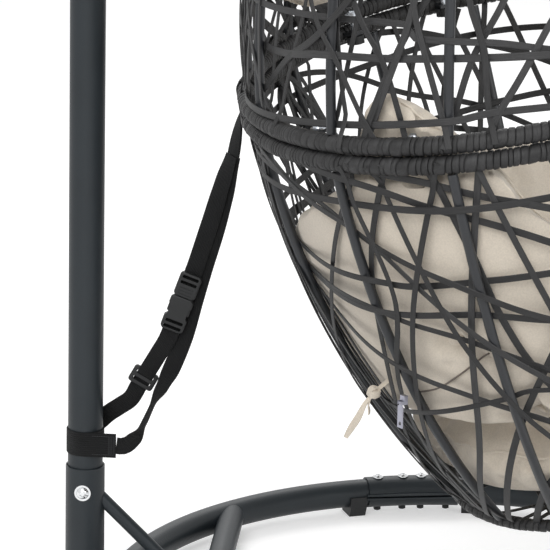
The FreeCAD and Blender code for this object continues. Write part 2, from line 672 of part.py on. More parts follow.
def shank(low, high, radius):
    return Part.makeCylinder(radius, high - low, Vector(0, 0, low), Z_AXIS)


run = 2 * size("wire_radius")


coil_bottom = lower_cap_top + size("wire_radius") + clear
top_fitting = shank(upper_cap_bottom, upper_cap_top, size("cap_radius"))
top_shank = shank(upper_cap_top - 1, top_eye_middle - size("ring_bend") + 1, size("ring_rod"))
top_fitting = top_fitting.fuse([top_shank, eye_ring(top_eye_middle)])
feature("spring_top_eye", top_fitting.removeSplitter(), at_hang(0))

bottom_fitting = shank(lower_cap_bottom, lower_cap_top, size("cap_radius"))
bottom_fitting = bottom_fitting.cut(shank(lower_cap_bottom - 1, lower_cap_top + 1,
                                          size("swivel_radius") + size("swivel_clearance")))
feature("spring_bottom_cap", bottom_fitting, at_hang(0))

swivel = shank(swivel_ring_middle + size("ring_bend") - 1, lower_cap_top + clear + 1, size("swivel_radius"))
swivel = swivel.fuse([shank(lower_cap_top + clear, lower_cap_top + clear + size("swivel_head_height"),
                            size("swivel_head_radius")), eye_ring(swivel_ring_middle)])
feature("swivel_eye", swivel.removeSplitter(), at_hang(0))


def coil_point(turns):
    angle = 2 * math.pi * turns
    return Vector(size("coil_radius") * math.cos(angle), size("coil_radius") * math.sin(angle),
                  coil_bottom + size("coil_pitch") * turns)


def coil_way(turns):
    angle = 2 * math.pi * turns
    return Vector(-size("coil_radius") * math.sin(angle), size("coil_radius") * math.cos(angle),
                  size("coil_pitch") / (2 * math.pi))


quarter_turns = [k / 4 for k in range(int(round(size("coil_turns") * 4)) + 1)]
coil_points = [coil_point(t) for t in quarter_turns]
coil_ways = [coil_way(t) for t in quarter_turns]
lead_in = Part.LineSegment(coil_points[0] - coil_ways[0].normalize() * run, coil_points[0]).toShape()
lead_out = Part.LineSegment(coil_points[-1], coil_points[-1] + coil_ways[-1].normalize() * run).toShape()
coil = swept([lead_in] + smooth_path(coil_points, coil_ways) + [lead_out], size("wire_radius"))
feature("spring_coil", coil, at_hang(0))
print("least gap between the spring's turns", round(size("coil_pitch") - 2 * size("wire_radius"), 2), "mm")


# Basket surface. A profile of tangent arcs gives its half depth at each height; the plan is an
# ellipse, and the whole leans forward with distance from the ring.
class Profile:
    def __init__(self, start, start_way, end, end_way):
        self.edges = biarc(start, start_way, end, end_way)
        self.end_way = Vector(end_way).normalize()

    def half_depth(self, height):
        for edge in self.edges:
            ends = sorted(vertex.Point.z for vertex in edge.Vertexes)
            if ends[0] - 1e-6 <= height <= ends[1] + 1e-6:
                centre, radius = edge.Curve.Center, edge.Curve.Radius
                return centre.x + math.sqrt(max(radius ** 2 - (height - centre.z) ** 2, 0))
        nearest = min(self.edges, key=lambda e: min(abs(v.Point.z - height) for v in e.Vertexes))
        centre, radius = nearest.Curve.Center, nearest.Curve.Radius
        return centre.x + math.sqrt(max(radius ** 2 - (height - centre.z) ** 2, 0))

    def offset_edges(self, distance):
        shifted = []
        for edge in self.edges:
            centre, radius = edge.Curve.Center, edge.Curve.Radius
            middle = edge.valueAt((edge.FirstParameter + edge.LastParameter) / 2)
            points = [edge.valueAt(edge.FirstParameter), middle, edge.valueAt(edge.LastParameter)]
            points = [centre + (p - centre) * ((radius + distance) / radius) for p in points]
            shifted.append(Part.Arc(*points).toShape())
        return shifted


half_width, half_depth = size("ring_half_width"), size("ring_half_depth")
stretch = half_width / half_depth
bowl_chord = Vector(size("bottom_half_depth") - half_depth, 0, -size("bowl_depth"))
bowl_turn = math.degrees(2 * math.atan(2 * size("bowl_bulge") / bowl_chord.Length))


def turned(way, degrees):
    return Rotation(Y_AXIS, degrees).multVec(way)


bowl_end = Vector(size("bottom_half_depth"), 0, -size("bowl_depth"))
bowl_profile = Profile(Vector(half_depth, 0, 0), turned(bowl_chord, -bowl_turn),
                       bowl_end, turned(bowl_chord, bowl_turn))
start_slope, end_slope = math.radians(size("dome_start")), math.radians(size("dome_end"))
dome_profile = Profile(Vector(half_depth, 0, 0), Vector(math.sin(start_slope), 0, math.cos(start_slope)),
                       Vector(size("crown_half_depth"), 0, size("dome_height")),
                       Vector(-math.cos(end_slope), 0, math.sin(end_slope)))


def lean_at(height):
    return size("bowl_lean") * height if height < 0 else crown_lean * height


def depth_at(height):
    return (bowl_profile if height < 0 else dome_profile).half_depth(height)


def surface(angle, height, inset=0):
    """Point of the basket's surface at an angle in plan and a height, moved inwards at that height
    until it is the given distance from the surface."""
    turn = math.radians(angle)
    depth = depth_at(height)
    point = Vector(depth * stretch * math.cos(turn), depth * math.sin(turn) + lean_at(height), height)
    if inset == 0:
        return point
    normal = Vector(math.cos(turn) / stretch, math.sin(turn), 0).normalize()
    rise = 1 if height >= 0 else -1
    climb = surface(angle, height + rise) - point
    slope = climb.dot(normal)
    return point - normal * inset * math.sqrt(1 + slope * slope)


# Front opening: below and above the joint it lies in a plane through the ring's two ends.
ring_end = size("ring_end_angle")
rim_start = half_depth * math.sin(math.radians(ring_end))
lower_fall = (depth_at(-size("rim_drop")) - rim_start) / size("rim_drop")
upper_fall = (rim_start - depth_at(size("upper_rim_top"))) / size("upper_rim_top")
rim_clear = size("wrap_radius") + size("wrap_gap") / 2 + 2


def rim_sine(height):
    fall = lower_fall if height < 0 else upper_fall
    return (-rim_start + fall * height) / depth_at(height)


def rim_point(height, side):
    sine = max(rim_sine(height), -1)
    angle = math.degrees(math.asin(sine))
    return surface(angle if side > 0 else 180 - angle, height)


def rim_edges(heights, turning_height):
    points, ways = [], []
    for height in heights:
        step = math.copysign(0.5, turning_height)
        points.append(rim_point(height, -1))
        ways.append(rim_point(height + step, -1) - rim_point(height - step, -1))
    middle = rim_point(turning_height, -1)
    middle.x = 0
    points.append(middle)
    ways.append(X_AXIS)
    for k in range(len(heights) - 1, -1, -1):
        points.append(Vector(-points[k].x, points[k].y, points[k].z))
        ways.append(Vector(ways[k].x, -ways[k].y, -ways[k].z))
    return smooth_path(points, ways)


lower_drop = size("rim_drop")
lower_rim = rim_edges([-rim_clear, -0.35 * lower_drop, -0.68 * lower_drop, -0.92 * lower_drop], -lower_drop)
upper_top = size("upper_rim_top")
upper_rim = rim_edges([rim_clear, 0.25 * upper_top, 0.5 * upper_top, 0.73 * upper_top, 0.92 * upper_top],
                      upper_top)


def plan_ellipse(half_x, half_y, centre, first, last, steps):
    points, ways = [], []
    for k in range(steps + 1):
        turn = math.radians(first + (last - first) * k / steps)
        points.append(centre + Vector(half_x * math.cos(turn), half_y * math.sin(turn), 0))
        ways.append(Vector(-half_x * math.sin(turn), half_y * math.cos(turn), 0))
    return smooth_path(points, ways)


def wrapped(name, edges, crossing):
    """A steel tube and the wicker wrapped round it, coped where they meet a crossing bar."""
    rod, wrap = size("frame_rod"), size("wrap_radius")
    feature(name + "_tube", swept_tube(edges, rod, rod - size("frame_wall")).cut(crossing), basket)
    feature(name + "_wrap", swept_tube(edges, wrap, rod + size("wrap_clearance")).cut(crossing), basket)


ring_rise = size("wrap_radius") + size("wrap_gap") / 2
ring_reach = ring_end + size("ring_overrun")
for name, height, rim in (("lower", -ring_rise, lower_rim), ("upper", ring_rise, upper_rim)):
    ring = plan_ellipse(half_width, half_depth, Vector(0, 0, height), -ring_reach, 180 + ring_reach, 8)
    wrapped(name + "_ring", ring, [])
    wrapped(name + "_rim", rim, [swept(ring, size("wrap_radius") + 0.1)])

bottom_centre = Vector(0, lean_at(-size("bowl_depth")), -size("bowl_depth"))
bottom_half = size("bottom_half_depth")
bottom_path = plan_ellipse(bottom_half * stretch, bottom_half, bottom_centre, 0, 360, 12)
feature("bottom_ring", swept(bottom_path, size("bottom_rod")), basket)

crown_centre = Vector(0, crown_setback, size("dome_height"))
crown_half = size("crown_half_depth")
crown_path = plan_ellipse(crown_half * stretch, crown_half, crown_centre, 0, 360, 12)
crown_side = X_AXIS * crown_half * stretch
crown_bar = solid_between(crown_centre - crown_side, crown_centre + crown_side, size("rib_rod"))
feature("crown_ring", swept(crown_path, size("rib_rod")).fuse(crown_bar), basket)


# Ribs follow the surface from ring or rim to the bottom ring or the crown.
def rib(angle, heights):
    points = [surface(angle, h) for h in heights]
    ways = [(surface(angle, h + 0.5) - surface(angle, h - 0.5)) * (1 if heights[-1] > heights[0] else -1)
            for h in heights]
    return swept(smooth_path(points, ways), size("rib_rod"))


def rim_height(angle, low, high):
    """Height at which the opening's plane meets the surface at an angle in front of the ring's ends."""
    for _ in range(50):
        middle = (low + high) / 2
        outside = rim_sine(middle) - math.sin(math.radians(angle))
        if outside > 0:
            high = middle
        else:
            low = middle
    return (low + high) / 2


rib_clear = size("wrap_radius") + 0.8
ring_gap = ring_rise + rib_clear
rear_angles = [90 + size("rib_step") * k for k in range(-3, 4)]
bottom_clear = size("bowl_depth") - size("bottom_rod") - 0.2
lower_ribs = []
for angle in rear_angles:
    lower_ribs.append(rib(angle, [-ring_gap, -0.5 * size("bowl_depth"), -bottom_clear]))
rim_bar = swept(lower_rim, size("wrap_radius") + 0.2)
for angle in [270 + size("rib_step") * k for k in range(-2, 3)]:
    start = rim_height(angle, -size("rim_drop"), 0)
    front_rib = rib(angle, [start, (start - size("bowl_depth")) / 2, -bottom_clear]).cut(rim_bar)
    lower_ribs.append(max(front_rib.Solids, key=lambda piece: piece.Volume))
feature("lower_ribs", Part.makeCompound(lower_ribs), basket)

crown_clear = size("dome_height") - (size("rib_rod") + 0.3) * math.sin(end_slope)
crown_space = swept(crown_path, size("rib_rod") + 0.15)
upper_ribs = []
for angle in rear_angles:
    heights = [ring_gap, 0.4 * crown_clear, 0.75 * crown_clear, 0.93 * crown_clear, crown_clear]
    upper_ribs.append(rib(angle, heights).cut(crown_space))
feature("upper_ribs", Part.makeCompound(upper_ribs), basket)


# Weave: a thin shell outside the ribs, cut back to the front opening.
def revolved_shell(profile, lean, floor=None):
    """A thin shell round the profile. With a floor height it closes over the axis at that height."""
    edges, starts, ends = [], [], []
    gap, weave_wall = size("weave_gap"), size("weave_wall")
    for distance, depth in ((gap, 0), (gap + weave_wall, weave_wall)):
        skin = profile.offset_edges(distance)
        wire = Part.Wire(skin)
        edges += skin
        starts.append(wire.OrderedVertexes[0].Point)
        end = wire.OrderedVertexes[-1].Point
        if floor is not None:
            level = floor - depth
            down = profile.end_way * ((level - end.z) / profile.end_way.z)
            corner, centre = end + down, Vector(0, 0, level)
            edges += [Part.LineSegment(end, corner).toShape(), Part.LineSegment(corner, centre).toShape()]
            end = centre
        ends.append(end)
    edges.append(Part.LineSegment(*ends).toShape())
    edges.append(Part.LineSegment(*starts).toShape())
    face = Part.Face(Part.Wire(Part.__sortEdges__(edges)))
    shell = face.revolve(Vector(0, 0, 0), Z_AXIS, 360)
    matrix = Matrix()
    matrix.A11 = stretch
    matrix.A23 = lean
    return shell.transformGeometry(matrix)


def wedge(points):
    corners = [Vector(-1000, y, z) for y, z in points]
    return Part.Face(Part.makePolygon(corners + corners[:1])).extrude(Vector(2000, 0, 0))


edge_gap = size("wrap_radius") + 1
lower_slope = lower_fall + size("bowl_lean")
upper_slope = upper_fall + crown_lean
bowl = revolved_shell(bowl_profile, size("bowl_lean"), -size("bowl_depth") - size("bottom_rod") - 0.5)
above_ring = Part.makeBox(2000, 2000, 400, Vector(-1000, -1000, -ring_gap + 2), Z_AXIS)
front_edge = -rim_start + edge_gap
front_low = wedge([(front_edge - lower_slope * 700, -700), (front_edge + lower_slope * 100, 100),
                   (-1000, 100), (-1000, -700)])


def stadium(radius):
    """Bar across the basket with the outline of a strap's turn round both rings."""
    half = ring_rise
    points = [Vector(0, radius, -half), Vector(0, radius, half),
              Vector(0, -radius, half), Vector(0, -radius, -half)]
    edges = [Part.LineSegment(points[0], points[1]).toShape(),
             Part.Arc(points[1], Vector(0, 0, half + radius), points[2]).toShape(),
             Part.LineSegment(points[2], points[3]).toShape(),
             Part.Arc(points[3], Vector(0, 0, -half - radius), points[0]).toShape()]
    bar = Part.Face(Part.Wire(edges)).extrude(X_AXIS * size("strap_width"))
    bar.translate(Vector(loop_start, half_depth - 0.5, 0))
    return bar


# The strap passes flat inside the tail of its band, which touches the pole's side.
band_inner = size("pole_radius") + size("band_gap")
band_outer = band_inner + size("strap_thickness")
near_x = -band_inner + size("strap_thickness") / 2 + 0.05
loop_start = near_x - 2 - size("strap_width") / 2
loop_inner = size("wrap_radius") + 0.6
loop_space = stadium(loop_inner + size("strap_thickness") + 0.5)
feature("lower_weave", bowl.cut([above_ring, front_low, loop_space]), basket)

dome = revolved_shell(dome_profile, crown_lean)
below_ring = Part.makeBox(2000, 2000, 400, Vector(-1000, -1000, ring_gap - 2 - 400), Z_AXIS)
front_high = wedge([(front_edge - upper_slope * 100, -100), (front_edge + upper_slope * 900, 900),
                    (-1000, 900), (-1000, -100)])
feature("upper_weave", dome.cut([below_ring, front_high, loop_space]), basket)

# Crown loop, welded on the crown bar and upright as it hangs.
loop = Part.makeTorus(size("crown_loop_radius"), size("crown_loop_rod"), Vector(0, 0, 0), Z_AXIS)
loop.Placement = Placement(Vector(0, 0, loop_middle), eye_turn)
loop_foot = shank(crown.z, loop_middle - size("crown_loop_radius"), size("crown_loop_rod"))
bar_solid = crown_bar.copy()
bar_solid.Placement = at_hang(0).inverse().multiply(basket)
feature("crown_loop", loop.fuse(loop_foot).cut(bar_solid).removeSplitter(), at_hang(0))


# Bolts and knobs that clamp the two rings together, inside the ring line.
clamp_angles = [18, 45, 135, 162]
knob_radius = 13
lug_reach = knob_radius + 1
clamp_inset = size("wrap_radius") + lug_reach
clamp_spots = []
for angle in clamp_angles:
    point = surface(angle, 0)
    turn = math.degrees(math.atan2(point.y * stretch ** 2, point.x))
    spot = Placement(Vector(point.x, point.y, 0), Rotation(Z_AXIS, turn))
    clamp_spots.append(spot.multiply(Placement(Vector(-clamp_inset, 0, 0), Rotation())))
clamp_places = [basket.multiply(spot) for spot in clamp_spots]


clamp_bolt = domed_bolt(8, 5, 2, 4, 2 * ring_rise + 14)
top_seat = Placement(Vector(0, 0, ring_rise + 5), Rotation())
feature("ring_bolts", group(clamp_bolt, [p.multiply(top_seat) for p in clamp_places]))
knob = Part.makeCylinder(knob_radius, 12, Vector(0, 0, -12), Z_AXIS)
knob = knob.cut(Part.makeCylinder(4.05, 40, Vector(0, 0, -30), Z_AXIS))
for k in range(6):
    turn = math.radians(60 * k)
    grip = Vector((knob_radius + 2) * math.cos(turn), (knob_radius + 2) * math.sin(turn), -30)
    knob = knob.cut(Part.makeCylinder(3.2, 40, grip, Z_AXIS))
bottom_seat = Placement(Vector(0, 0, -ring_rise - 1), Rotation())
feature("ring_knobs", group(knob, [p.multiply(bottom_seat) for p in clamp_places]))
lugs = []
for place in clamp_places:
    for rise in (ring_rise, -ring_rise):
        lug = Part.makeBox(9 + lug_reach - 0.2, 18, 5, Vector(-9, -9, 0), Z_AXIS)
        lug = lug.cut(Part.makeCylinder(4.2, 20, Vector(0, 0, -5), Z_AXIS))
        lug.Placement = place.multiply(Placement(Vector(0, 0, rise), Rotation()))
        lugs.append(lug)
feature("ring_lugs", Part.makeCompound(lugs))


# Cushions that line the wall: closed lofts through level sections.
def pad_section(height, first, last, inset, thickness, edge_thickness):
    def row(distance_at):
        points = []
        for k in range(7):
            share = k / 6
            points.append(surface(first + (last - first) * share, height, distance_at(share)))
        return points

    outer = row(lambda share: inset)
    fullness = thickness - edge_thickness
    inner = row(lambda share: inset + edge_thickness + fullness * math.sin(math.pi * share) ** 0.7)
    inner.reverse()
    edges = []
    for side in (outer, inner):
        for k in (0, 2, 4):
            edges.append(Part.Arc(side[k], side[k + 1], side[k + 2]).toShape())
        other = inner if side is outer else outer
        edges.append(Part.LineSegment(side[-1], other[0]).toShape())
    return Part.Wire(edges)


def wall_pad(label, sections):
    wires = [pad_section(*section) for section in sections]
    pad = Part.makeLoft(wires, True, False).cut(clamp_spaces)
    feature(label, pad, basket)


# The cushions make room for the clamps, from the ring inwards.
clamp_spaces = []
for spot in clamp_spots:
    space = Part.makeBox(80, 34, 70, Vector(-17, -17, -37), Z_AXIS)
    space.Placement = spot
    clamp_spaces.append(space)
wall, ring_wall = size("pad_gap"), size("wrap_radius") + size("pad_wrap_gap")
thick, edge = size("pad_thickness"), size("pad_edge")
low = -size("pad_bottom")


# Each section: height, first and last angle, inset, thickness, edge thickness. The left cushion has its
# corner pushed up above the ring; the right one has slipped down, and the back one hangs aslant.
wall_pad("left_wing_cushion", [(low, 96, 205, wall + 12, thick * 0.55, edge * 0.5),
                               (low + 40, 91.5, 210, wall + 1, thick * 0.9, edge),
                               (low * 0.6, 91.5, 206, wall + 1.5, thick, edge),
                               (-160, 93, 201, wall + 0.5, thick, edge),
                               (-115, 101, 197, wall + 2, thick * 0.9, edge),
                               (-75, 124, 194, ring_wall + 1, thick * 0.85, edge * 0.9),
                               (-30, 139, 189, ring_wall, thick * 0.8, edge * 0.8),
                               (30, 146, 178, ring_wall, thick * 0.6, edge * 0.6),
                               (85, 152, 164, ring_wall, thick * 0.3, edge * 0.35)])
wall_pad("right_wing_cushion", [(low, -25, 84, wall + 12, thick * 0.55, edge * 0.5),
                                (low + 40, -30, 88.5, wall, thick * 0.9, edge),
                                (low + 100, -27, 88.5, wall, thick, edge),
                                (-250, -20, 88, wall, thick * 0.8, edge * 0.8),
                                (-215, -6, 86, wall + 4, thick * 0.5, edge * 0.5)])
top = size("back_top")
back_wall = wall + 1.8
wall_pad("back_cushion", [(42, 52, 60, ring_wall, thick * 0.35, edge * 0.4),
                          (90, 51, 78, back_wall + 2, thick * 0.7, edge * 0.7),
                          (150, 51, 102, back_wall, thick * 0.9, edge * 0.9),
                          (205, 53, 124, back_wall, thick * 1.1, edge),
                          (top * 0.85, 57, 123, back_wall, thick * 0.9, edge * 0.8),
                          (top, 66, 114, back_wall + 10, thick * 0.4, edge * 0.4)])


# Seat cushion: a crowned round pad, stretched to the plan of the bowl, with sewn tufts.
def seat_cushion():
    middle = -size("seat_middle")
    reach = depth_at(middle) - size("pad_gap") - 3.2
    crown_z, under_z = -size("seat_top"), -size("seat_bottom")
    points = [Vector(0, 0, crown_z), Vector(reach * 0.5, 0, crown_z - 4), Vector(reach - 24, 0, crown_z - 20),
              Vector(reach - 4, 0, middle + 18), Vector(reach - 26, 0, middle - 40),
              Vector(reach * 0.5, 0, under_z + 9), Vector(0, 0, under_z)]
    edges = [Part.Arc(points[k], points[k + 1], points[k + 2]).toShape() for k in (0, 2, 4)]
    edges.append(Part.LineSegment(points[6], points[0]).toShape())
    pad = Part.Face(Part.Wire(edges)).revolve(Vector(0, 0, 0), Z_AXIS, 360)
    for x, y in ((0, 0), (0.5, 0), (-0.5, 0), (0, 0.5), (0, -0.5)):
        for height, way in ((crown_z, 1), (under_z, -1)):
            dip = Part.makeCone(2, 34, 20, Vector(x * reach, y * reach, height - way * 14), Vector(0, 0, way))
            pad = pad.cut(dip)
    matrix = Matrix()
    matrix.A11 = stretch
    matrix.A23 = size("bowl_lean")
    return pad.transformGeometry(matrix)


feature("seat_cushion", seat_cushion(), basket)

# Fabric ties, knotted outside the weave, and the zip's slider and pull.
tie_spots = [(133.5, -346, 1.3), (46.5, -346, 1.3), (112, 250, 0.6), (68, 250, 0.6)]
knot_radius, tail_width, tail_length = 10, 9, 75
ties = []
for angle, height, clearance in tie_spots:
    out = size("weave_gap") + size("weave_wall") + knot_radius + clearance
    knot_at = basket.multVec(surface(angle, height, -out))
    tail = Part.makeBox(1.5, tail_width, tail_length, Vector(-0.75, -tail_width / 2, -tail_length), Z_AXIS)
    tail.Placement = Placement(knot_at, Rotation(X_AXIS, 29))
    ties.append(Part.makeSphere(knot_radius, knot_at).fuse(tail))
feature("cushion_ties", Part.makeCompound(ties))

zip_angle, zip_height = 144, -352
slider_at = basket.multVec(surface(zip_angle, zip_height, -(size("weave_gap") + size("weave_wall") + 8.2)))
outward = basket.Rotation.multVec(surface(zip_angle, zip_height, -10) - surface(zip_angle, zip_height, 0))
zip_turn = math.degrees(math.atan2(outward.y, outward.x))
zip_place = Placement(slider_at, Rotation(Z_AXIS, zip_turn))
pin_out, pin_drop = 5.4, -3.5
slider = Part.makeBox(6, 9, 12, Vector(-3, -4.5, -6), Z_AXIS)
for low_y in (-4.4, 3.2):
    slider = slider.fuse(Part.makeBox(4.2, 1.2, 5, Vector(2.9, low_y, -6), Z_AXIS))
slider = slider.fuse(Part.makeCylinder(1, 8, Vector(pin_out, -4, pin_drop), Y_AXIS))
feature("zip_slider", slider.removeSplitter(), zip_place)
pull = Part.makeBox(1.5, 10, 30, Vector(pin_out - 0.75, -5, pin_drop - 34), Z_AXIS)
pull = pull.fuse(Part.makeBox(1.5, 5, 6, Vector(pin_out - 0.75, -2.5, pin_drop - 6), Z_AXIS))
pull = pull.fuse(Part.makeCylinder(1.9, 5, Vector(pin_out, -2.5, pin_drop), Y_AXIS))
pull = pull.cut(Part.makeCylinder(1.06, 20, Vector(pin_out, -10, pin_drop), Y_AXIS))
pull = pull.cut(Part.makeCylinder(2.6, 20, Vector(pin_out - 10, 0, pin_drop - 28), X_AXIS))
feature("zip_pull", pull.removeSplitter(), zip_place)


# Strap: a band round the pole, two layers of webbing up to the ring, a slide and a buckle.
band_low = size("band_height") - size("band_width") / 2
band_inside = f"{cell('pole_radius')} + {cell('band_gap')}"
band_outer_solid = cylinder("band_outside", f"{band_inside} + {cell('strap_thickness')}", cell("band_width"))
band_ring = cut("band_ring", band_outer_solid, cylinder("band_inside", band_inside, cell("band_width")))
band_tail = doc.addObject("Part::Box", "band_tail")
bind(band_tail, Length=cell("strap_thickness"), Width="47", Height=cell("band_width"))
band_tail.Placement = Placement(Vector(-band_outer, -47, 0), Rotation())
band = doc.addObject("Part::Fuse", "strap_band")
band.Base = band_ring
band.Tool = band_tail
band.Placement = Placement(pole_foot + Vector(0, 0, band_low), Rotation())
node("strap_band", band)


def rounded_path(points):
    """Straight runs joined by tangent arcs that take 0.45 of the shorter run."""
    edges, last = [], points[0]
    for k in range(1, len(points) - 1):
        here = points[k]
        before, after = points[k - 1] - here, points[k + 1] - here
        reach = 0.45 * min(before.Length, after.Length)
        start, end = here + before.normalize() * reach, here + after.normalize() * reach
        edges += [Part.LineSegment(last, start).toShape(), arc_from(start, here, end)]
        last = end
    edges.append(Part.LineSegment(last, points[-1]).toShape())
    return edges


def webbing(points, spare=0.0):
    edges = rounded_path(points)
    start = points[0]
    way = (points[1] - points[0]).normalize()
    side = way.cross(X_AXIS).normalize() * (size("strap_width") / 2 + spare)
    half = way.cross(side).normalize() * (size("strap_thickness") / 2 + spare)
    corners = [start + side + half, start - side + half, start - side - half, start + side - half]
    section = Part.makePolygon(corners + corners[:1])
    return Part.Wire(edges).makePipeShell([section], True, False)


# Webbing stations: across, behind the base ring's centre, height. The near layer starts flat
# inside the band's tail; the far layer starts on the band's far side and crosses over.
far_x = near_x - 4
sewn_end = [(near_x, 522, 258), (near_x, 508, 258)]
near_layer = [(near_x, 507.7, 258), (near_x, 497, 258), (near_x, 484, 267.5), (near_x, 471, 288),
              (near_x, 457, 320), (near_x, 443, 348), (near_x, 428, 381), (near_x, 412, 425),
              (near_x, 399, 476), (near_x, 386, 525), (near_x, 372, 574), (near_x, 359, 625),
              (near_x, 345.5, 688.2)]
band_side = band_outer + size("strap_thickness") / 2 + 0.05
far_low = [(band_side, 556, 262), (band_side, 541, 274), (25, 525, 290), (12, 507, 306), (0, 490, 322),
           (-10, 478, 345), (-18, 464, 370), (-25, 449, 397), (far_x, 436, 421)]
far_high = [(far_x, 397, 530), (far_x, 386, 566), (far_x, 373.5, 608), (far_x, 362.5, 648), (far_x, 350, 689)]
tail_top, tail_end = Vector(0, 337.5, 751.9), Vector(0, 347.5, 689)


def strap_run(stations):
    return webbing([from_base(*station) for station in stations])


feature("strap_sewn_end", strap_run(sewn_end))
feature("strap_near_layer", strap_run(near_layer))
feature("strap_far_layer", Part.makeCompound([strap_run(far_low), strap_run(far_high)]))

tail = tail_end - tail_top
tail_ply = Part.makeBox(size("strap_width"), 2 * size("strap_thickness") + 0.2, tail.Length)
tail_ply.translate(Vector(loop_start, -size("strap_thickness") - 0.1, -tail.Length))
lean_back = math.degrees(math.atan2(tail.y, -tail.z))
tail_place = Placement(from_base(0, tail_top.y, tail_top.z), Rotation(X_AXIS, lean_back))
tail_ply.Placement = basket.inverse().multiply(tail_place).multiply(tail_ply.Placement)
strap_loop = stadium(loop_inner + size("strap_thickness")).fuse(tail_ply).cut(stadium(loop_inner))
feature("strap_loop", strap_loop.removeSplitter(), basket)

# Slide and buckle, turned along the strap. The webbing passes through both.
def along_strap(x, start, end):
    run_y, run_z = end[0] - start[0], end[1] - start[1]
    turn = math.degrees(math.atan2(run_z, run_y)) - 90
    return Placement(from_base(x, *start), Rotation(X_AXIS, turn))


def box_between(low, high):
    low, high = Vector(*low), Vector(*high)
    return Part.makeBox(high.x - low.x, high.y - low.y, high.z - low.z, low, Z_AXIS)


slide_place = along_strap(-14, (471, 357.5), (464, 370))
slide = box_between((-4, -19, -13), (4, 19, 13))
slide.Placement = slide_place
slot = webbing([from_base(*station) for station in far_low], 0.1)
feature("strap_slide", slide.cut(slot))

buckle_place = along_strap(far_x - 2, (416.5, 475.5), (397, 530))
buckle_half, buckle_out, buckle_in = 17, -5, 5
socket_body = box_between((buckle_out, -buckle_half, -44), (buckle_in, buckle_half, 8))
socket_body = socket_body.cut(box_between((-3.4, -buckle_half + 3, -22), (3.4, buckle_half - 3, 9)))
feature("buckle_socket", socket_body, buckle_place)
plug_body = box_between((buckle_out, -buckle_half + 1, 8.3), (buckle_in, buckle_half - 1, 44))
prongs = [box_between((-3, y, -18), (3, y + 7, 9)) for y in (-buckle_half + 3.5, buckle_half - 10.5)]
feature("buckle_plug", plug_body.fuse(prongs).removeSplitter(), buckle_place)

# Every object is checked before anything is written.
doc.recompute()
for thing in doc.Objects:
    if "Invalid" in thing.State or "Error" in thing.State:
        raise RuntimeError(f"{thing.Label} failed: {thing.State}")
for label, thing in nodes.items():
    if thing.Shape.isNull() or not thing.Shape.isValid():
        raise RuntimeError(f"{label} has no valid shape")
for label, thing in nodes.items():
    thing.Shape.exportStep(f"parts/{label}.step")
print(len(nodes), "nodes written")
print("swing pivots", round(stand_eye_bottom, 2), round(upper_link_bottom, 2), "hang y", round(hang.y, 2))
print("coil between", round(lower_cap_top, 2), round(upper_cap_bottom, 2))
print("gate pivots", upper_gate_pivot, lower_gate_pivot)
print("crown", crown, "slider", slider_at, "zip turn", round(zip_turn, 2))
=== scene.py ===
import math
import random

import bmesh
import bpy
from mathutils import Matrix, Vector, noise
from mathutils.bvhtree import BVHTree


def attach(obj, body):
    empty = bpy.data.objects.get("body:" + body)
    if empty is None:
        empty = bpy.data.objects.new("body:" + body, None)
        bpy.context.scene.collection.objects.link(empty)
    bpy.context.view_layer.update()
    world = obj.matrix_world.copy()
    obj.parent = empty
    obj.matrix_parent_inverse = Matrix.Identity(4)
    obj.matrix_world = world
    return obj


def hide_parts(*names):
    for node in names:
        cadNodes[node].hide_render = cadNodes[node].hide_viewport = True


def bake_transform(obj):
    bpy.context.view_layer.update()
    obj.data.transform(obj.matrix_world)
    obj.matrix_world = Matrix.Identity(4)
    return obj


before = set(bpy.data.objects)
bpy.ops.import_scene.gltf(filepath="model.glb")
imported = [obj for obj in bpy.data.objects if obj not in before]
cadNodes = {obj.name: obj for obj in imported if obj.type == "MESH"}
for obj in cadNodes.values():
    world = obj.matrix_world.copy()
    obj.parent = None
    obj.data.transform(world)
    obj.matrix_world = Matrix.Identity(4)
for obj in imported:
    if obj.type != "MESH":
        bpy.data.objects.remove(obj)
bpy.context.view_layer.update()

print("frame loaded")

# Camera, floor and studio light.
photoView = {"place": (-4.862, -0.091, 1.862), "yaw": -4.156, "pitch": 15.479, "roll": 1.171,
             "focalPixels": 3601.0, "imageSide": 550, "sensor": 36.0, "farClip": 60}
studio = {"skyLevel": 0.42, "floorColour": (0.80, 0.80, 0.80), "floorGlow": 0.42, "floorRough": 0.9,
          "floorSide": 40, "aim": (0, 0, 0.9),
          "lamps": {"keyLight": ((-4.2, 0.9, 4.0), 3.4, 190),  # place, size and power
                    "fillLight": ((-3.0, -4.2, 2.6), 3.0, 80),
                    "backLight": ((3.4, 0.6, 3.6), 2.6, 70)}}
white = (1, 1, 1, 1)


def linked(thing):
    bpy.context.scene.collection.objects.link(thing)
    return thing


def placeCamera(view):
    yaw, pitch, roll = (math.radians(view[key]) for key in ("yaw", "pitch", "roll"))
    ahead = Vector((math.cos(yaw) * math.cos(pitch), -math.sin(yaw) * math.cos(pitch), -math.sin(pitch)))
    level = Vector((-math.sin(yaw), -math.cos(yaw), 0))
    upright = level.cross(ahead)
    right = level * math.cos(roll) + upright * math.sin(roll)
    up = upright * math.cos(roll) - level * math.sin(roll)
    lens = bpy.data.cameras.new("photoCamera")
    lens.sensor_width = view["sensor"]
    lens.lens = view["focalPixels"] * view["sensor"] / view["imageSide"]
    lens.clip_end = view["farClip"]
    camera = linked(bpy.data.objects.new("photoCamera", lens))
    turned = Matrix((right, up, -ahead)).transposed().to_4x4()
    camera.matrix_world = Matrix.Translation(view["place"]) @ turned
    bpy.context.scene.camera = camera


def softLight(name, place, size, power):
    lamp = bpy.data.lights.new(name, "AREA")
    lamp.shape = "DISK"
    lamp.size = size
    lamp.energy = power
    light = linked(bpy.data.objects.new(name, lamp))
    light.location = place
    light.rotation_euler = (Vector(studio["aim"]) - Vector(place)).to_track_quat("-Z", "Y").to_euler()


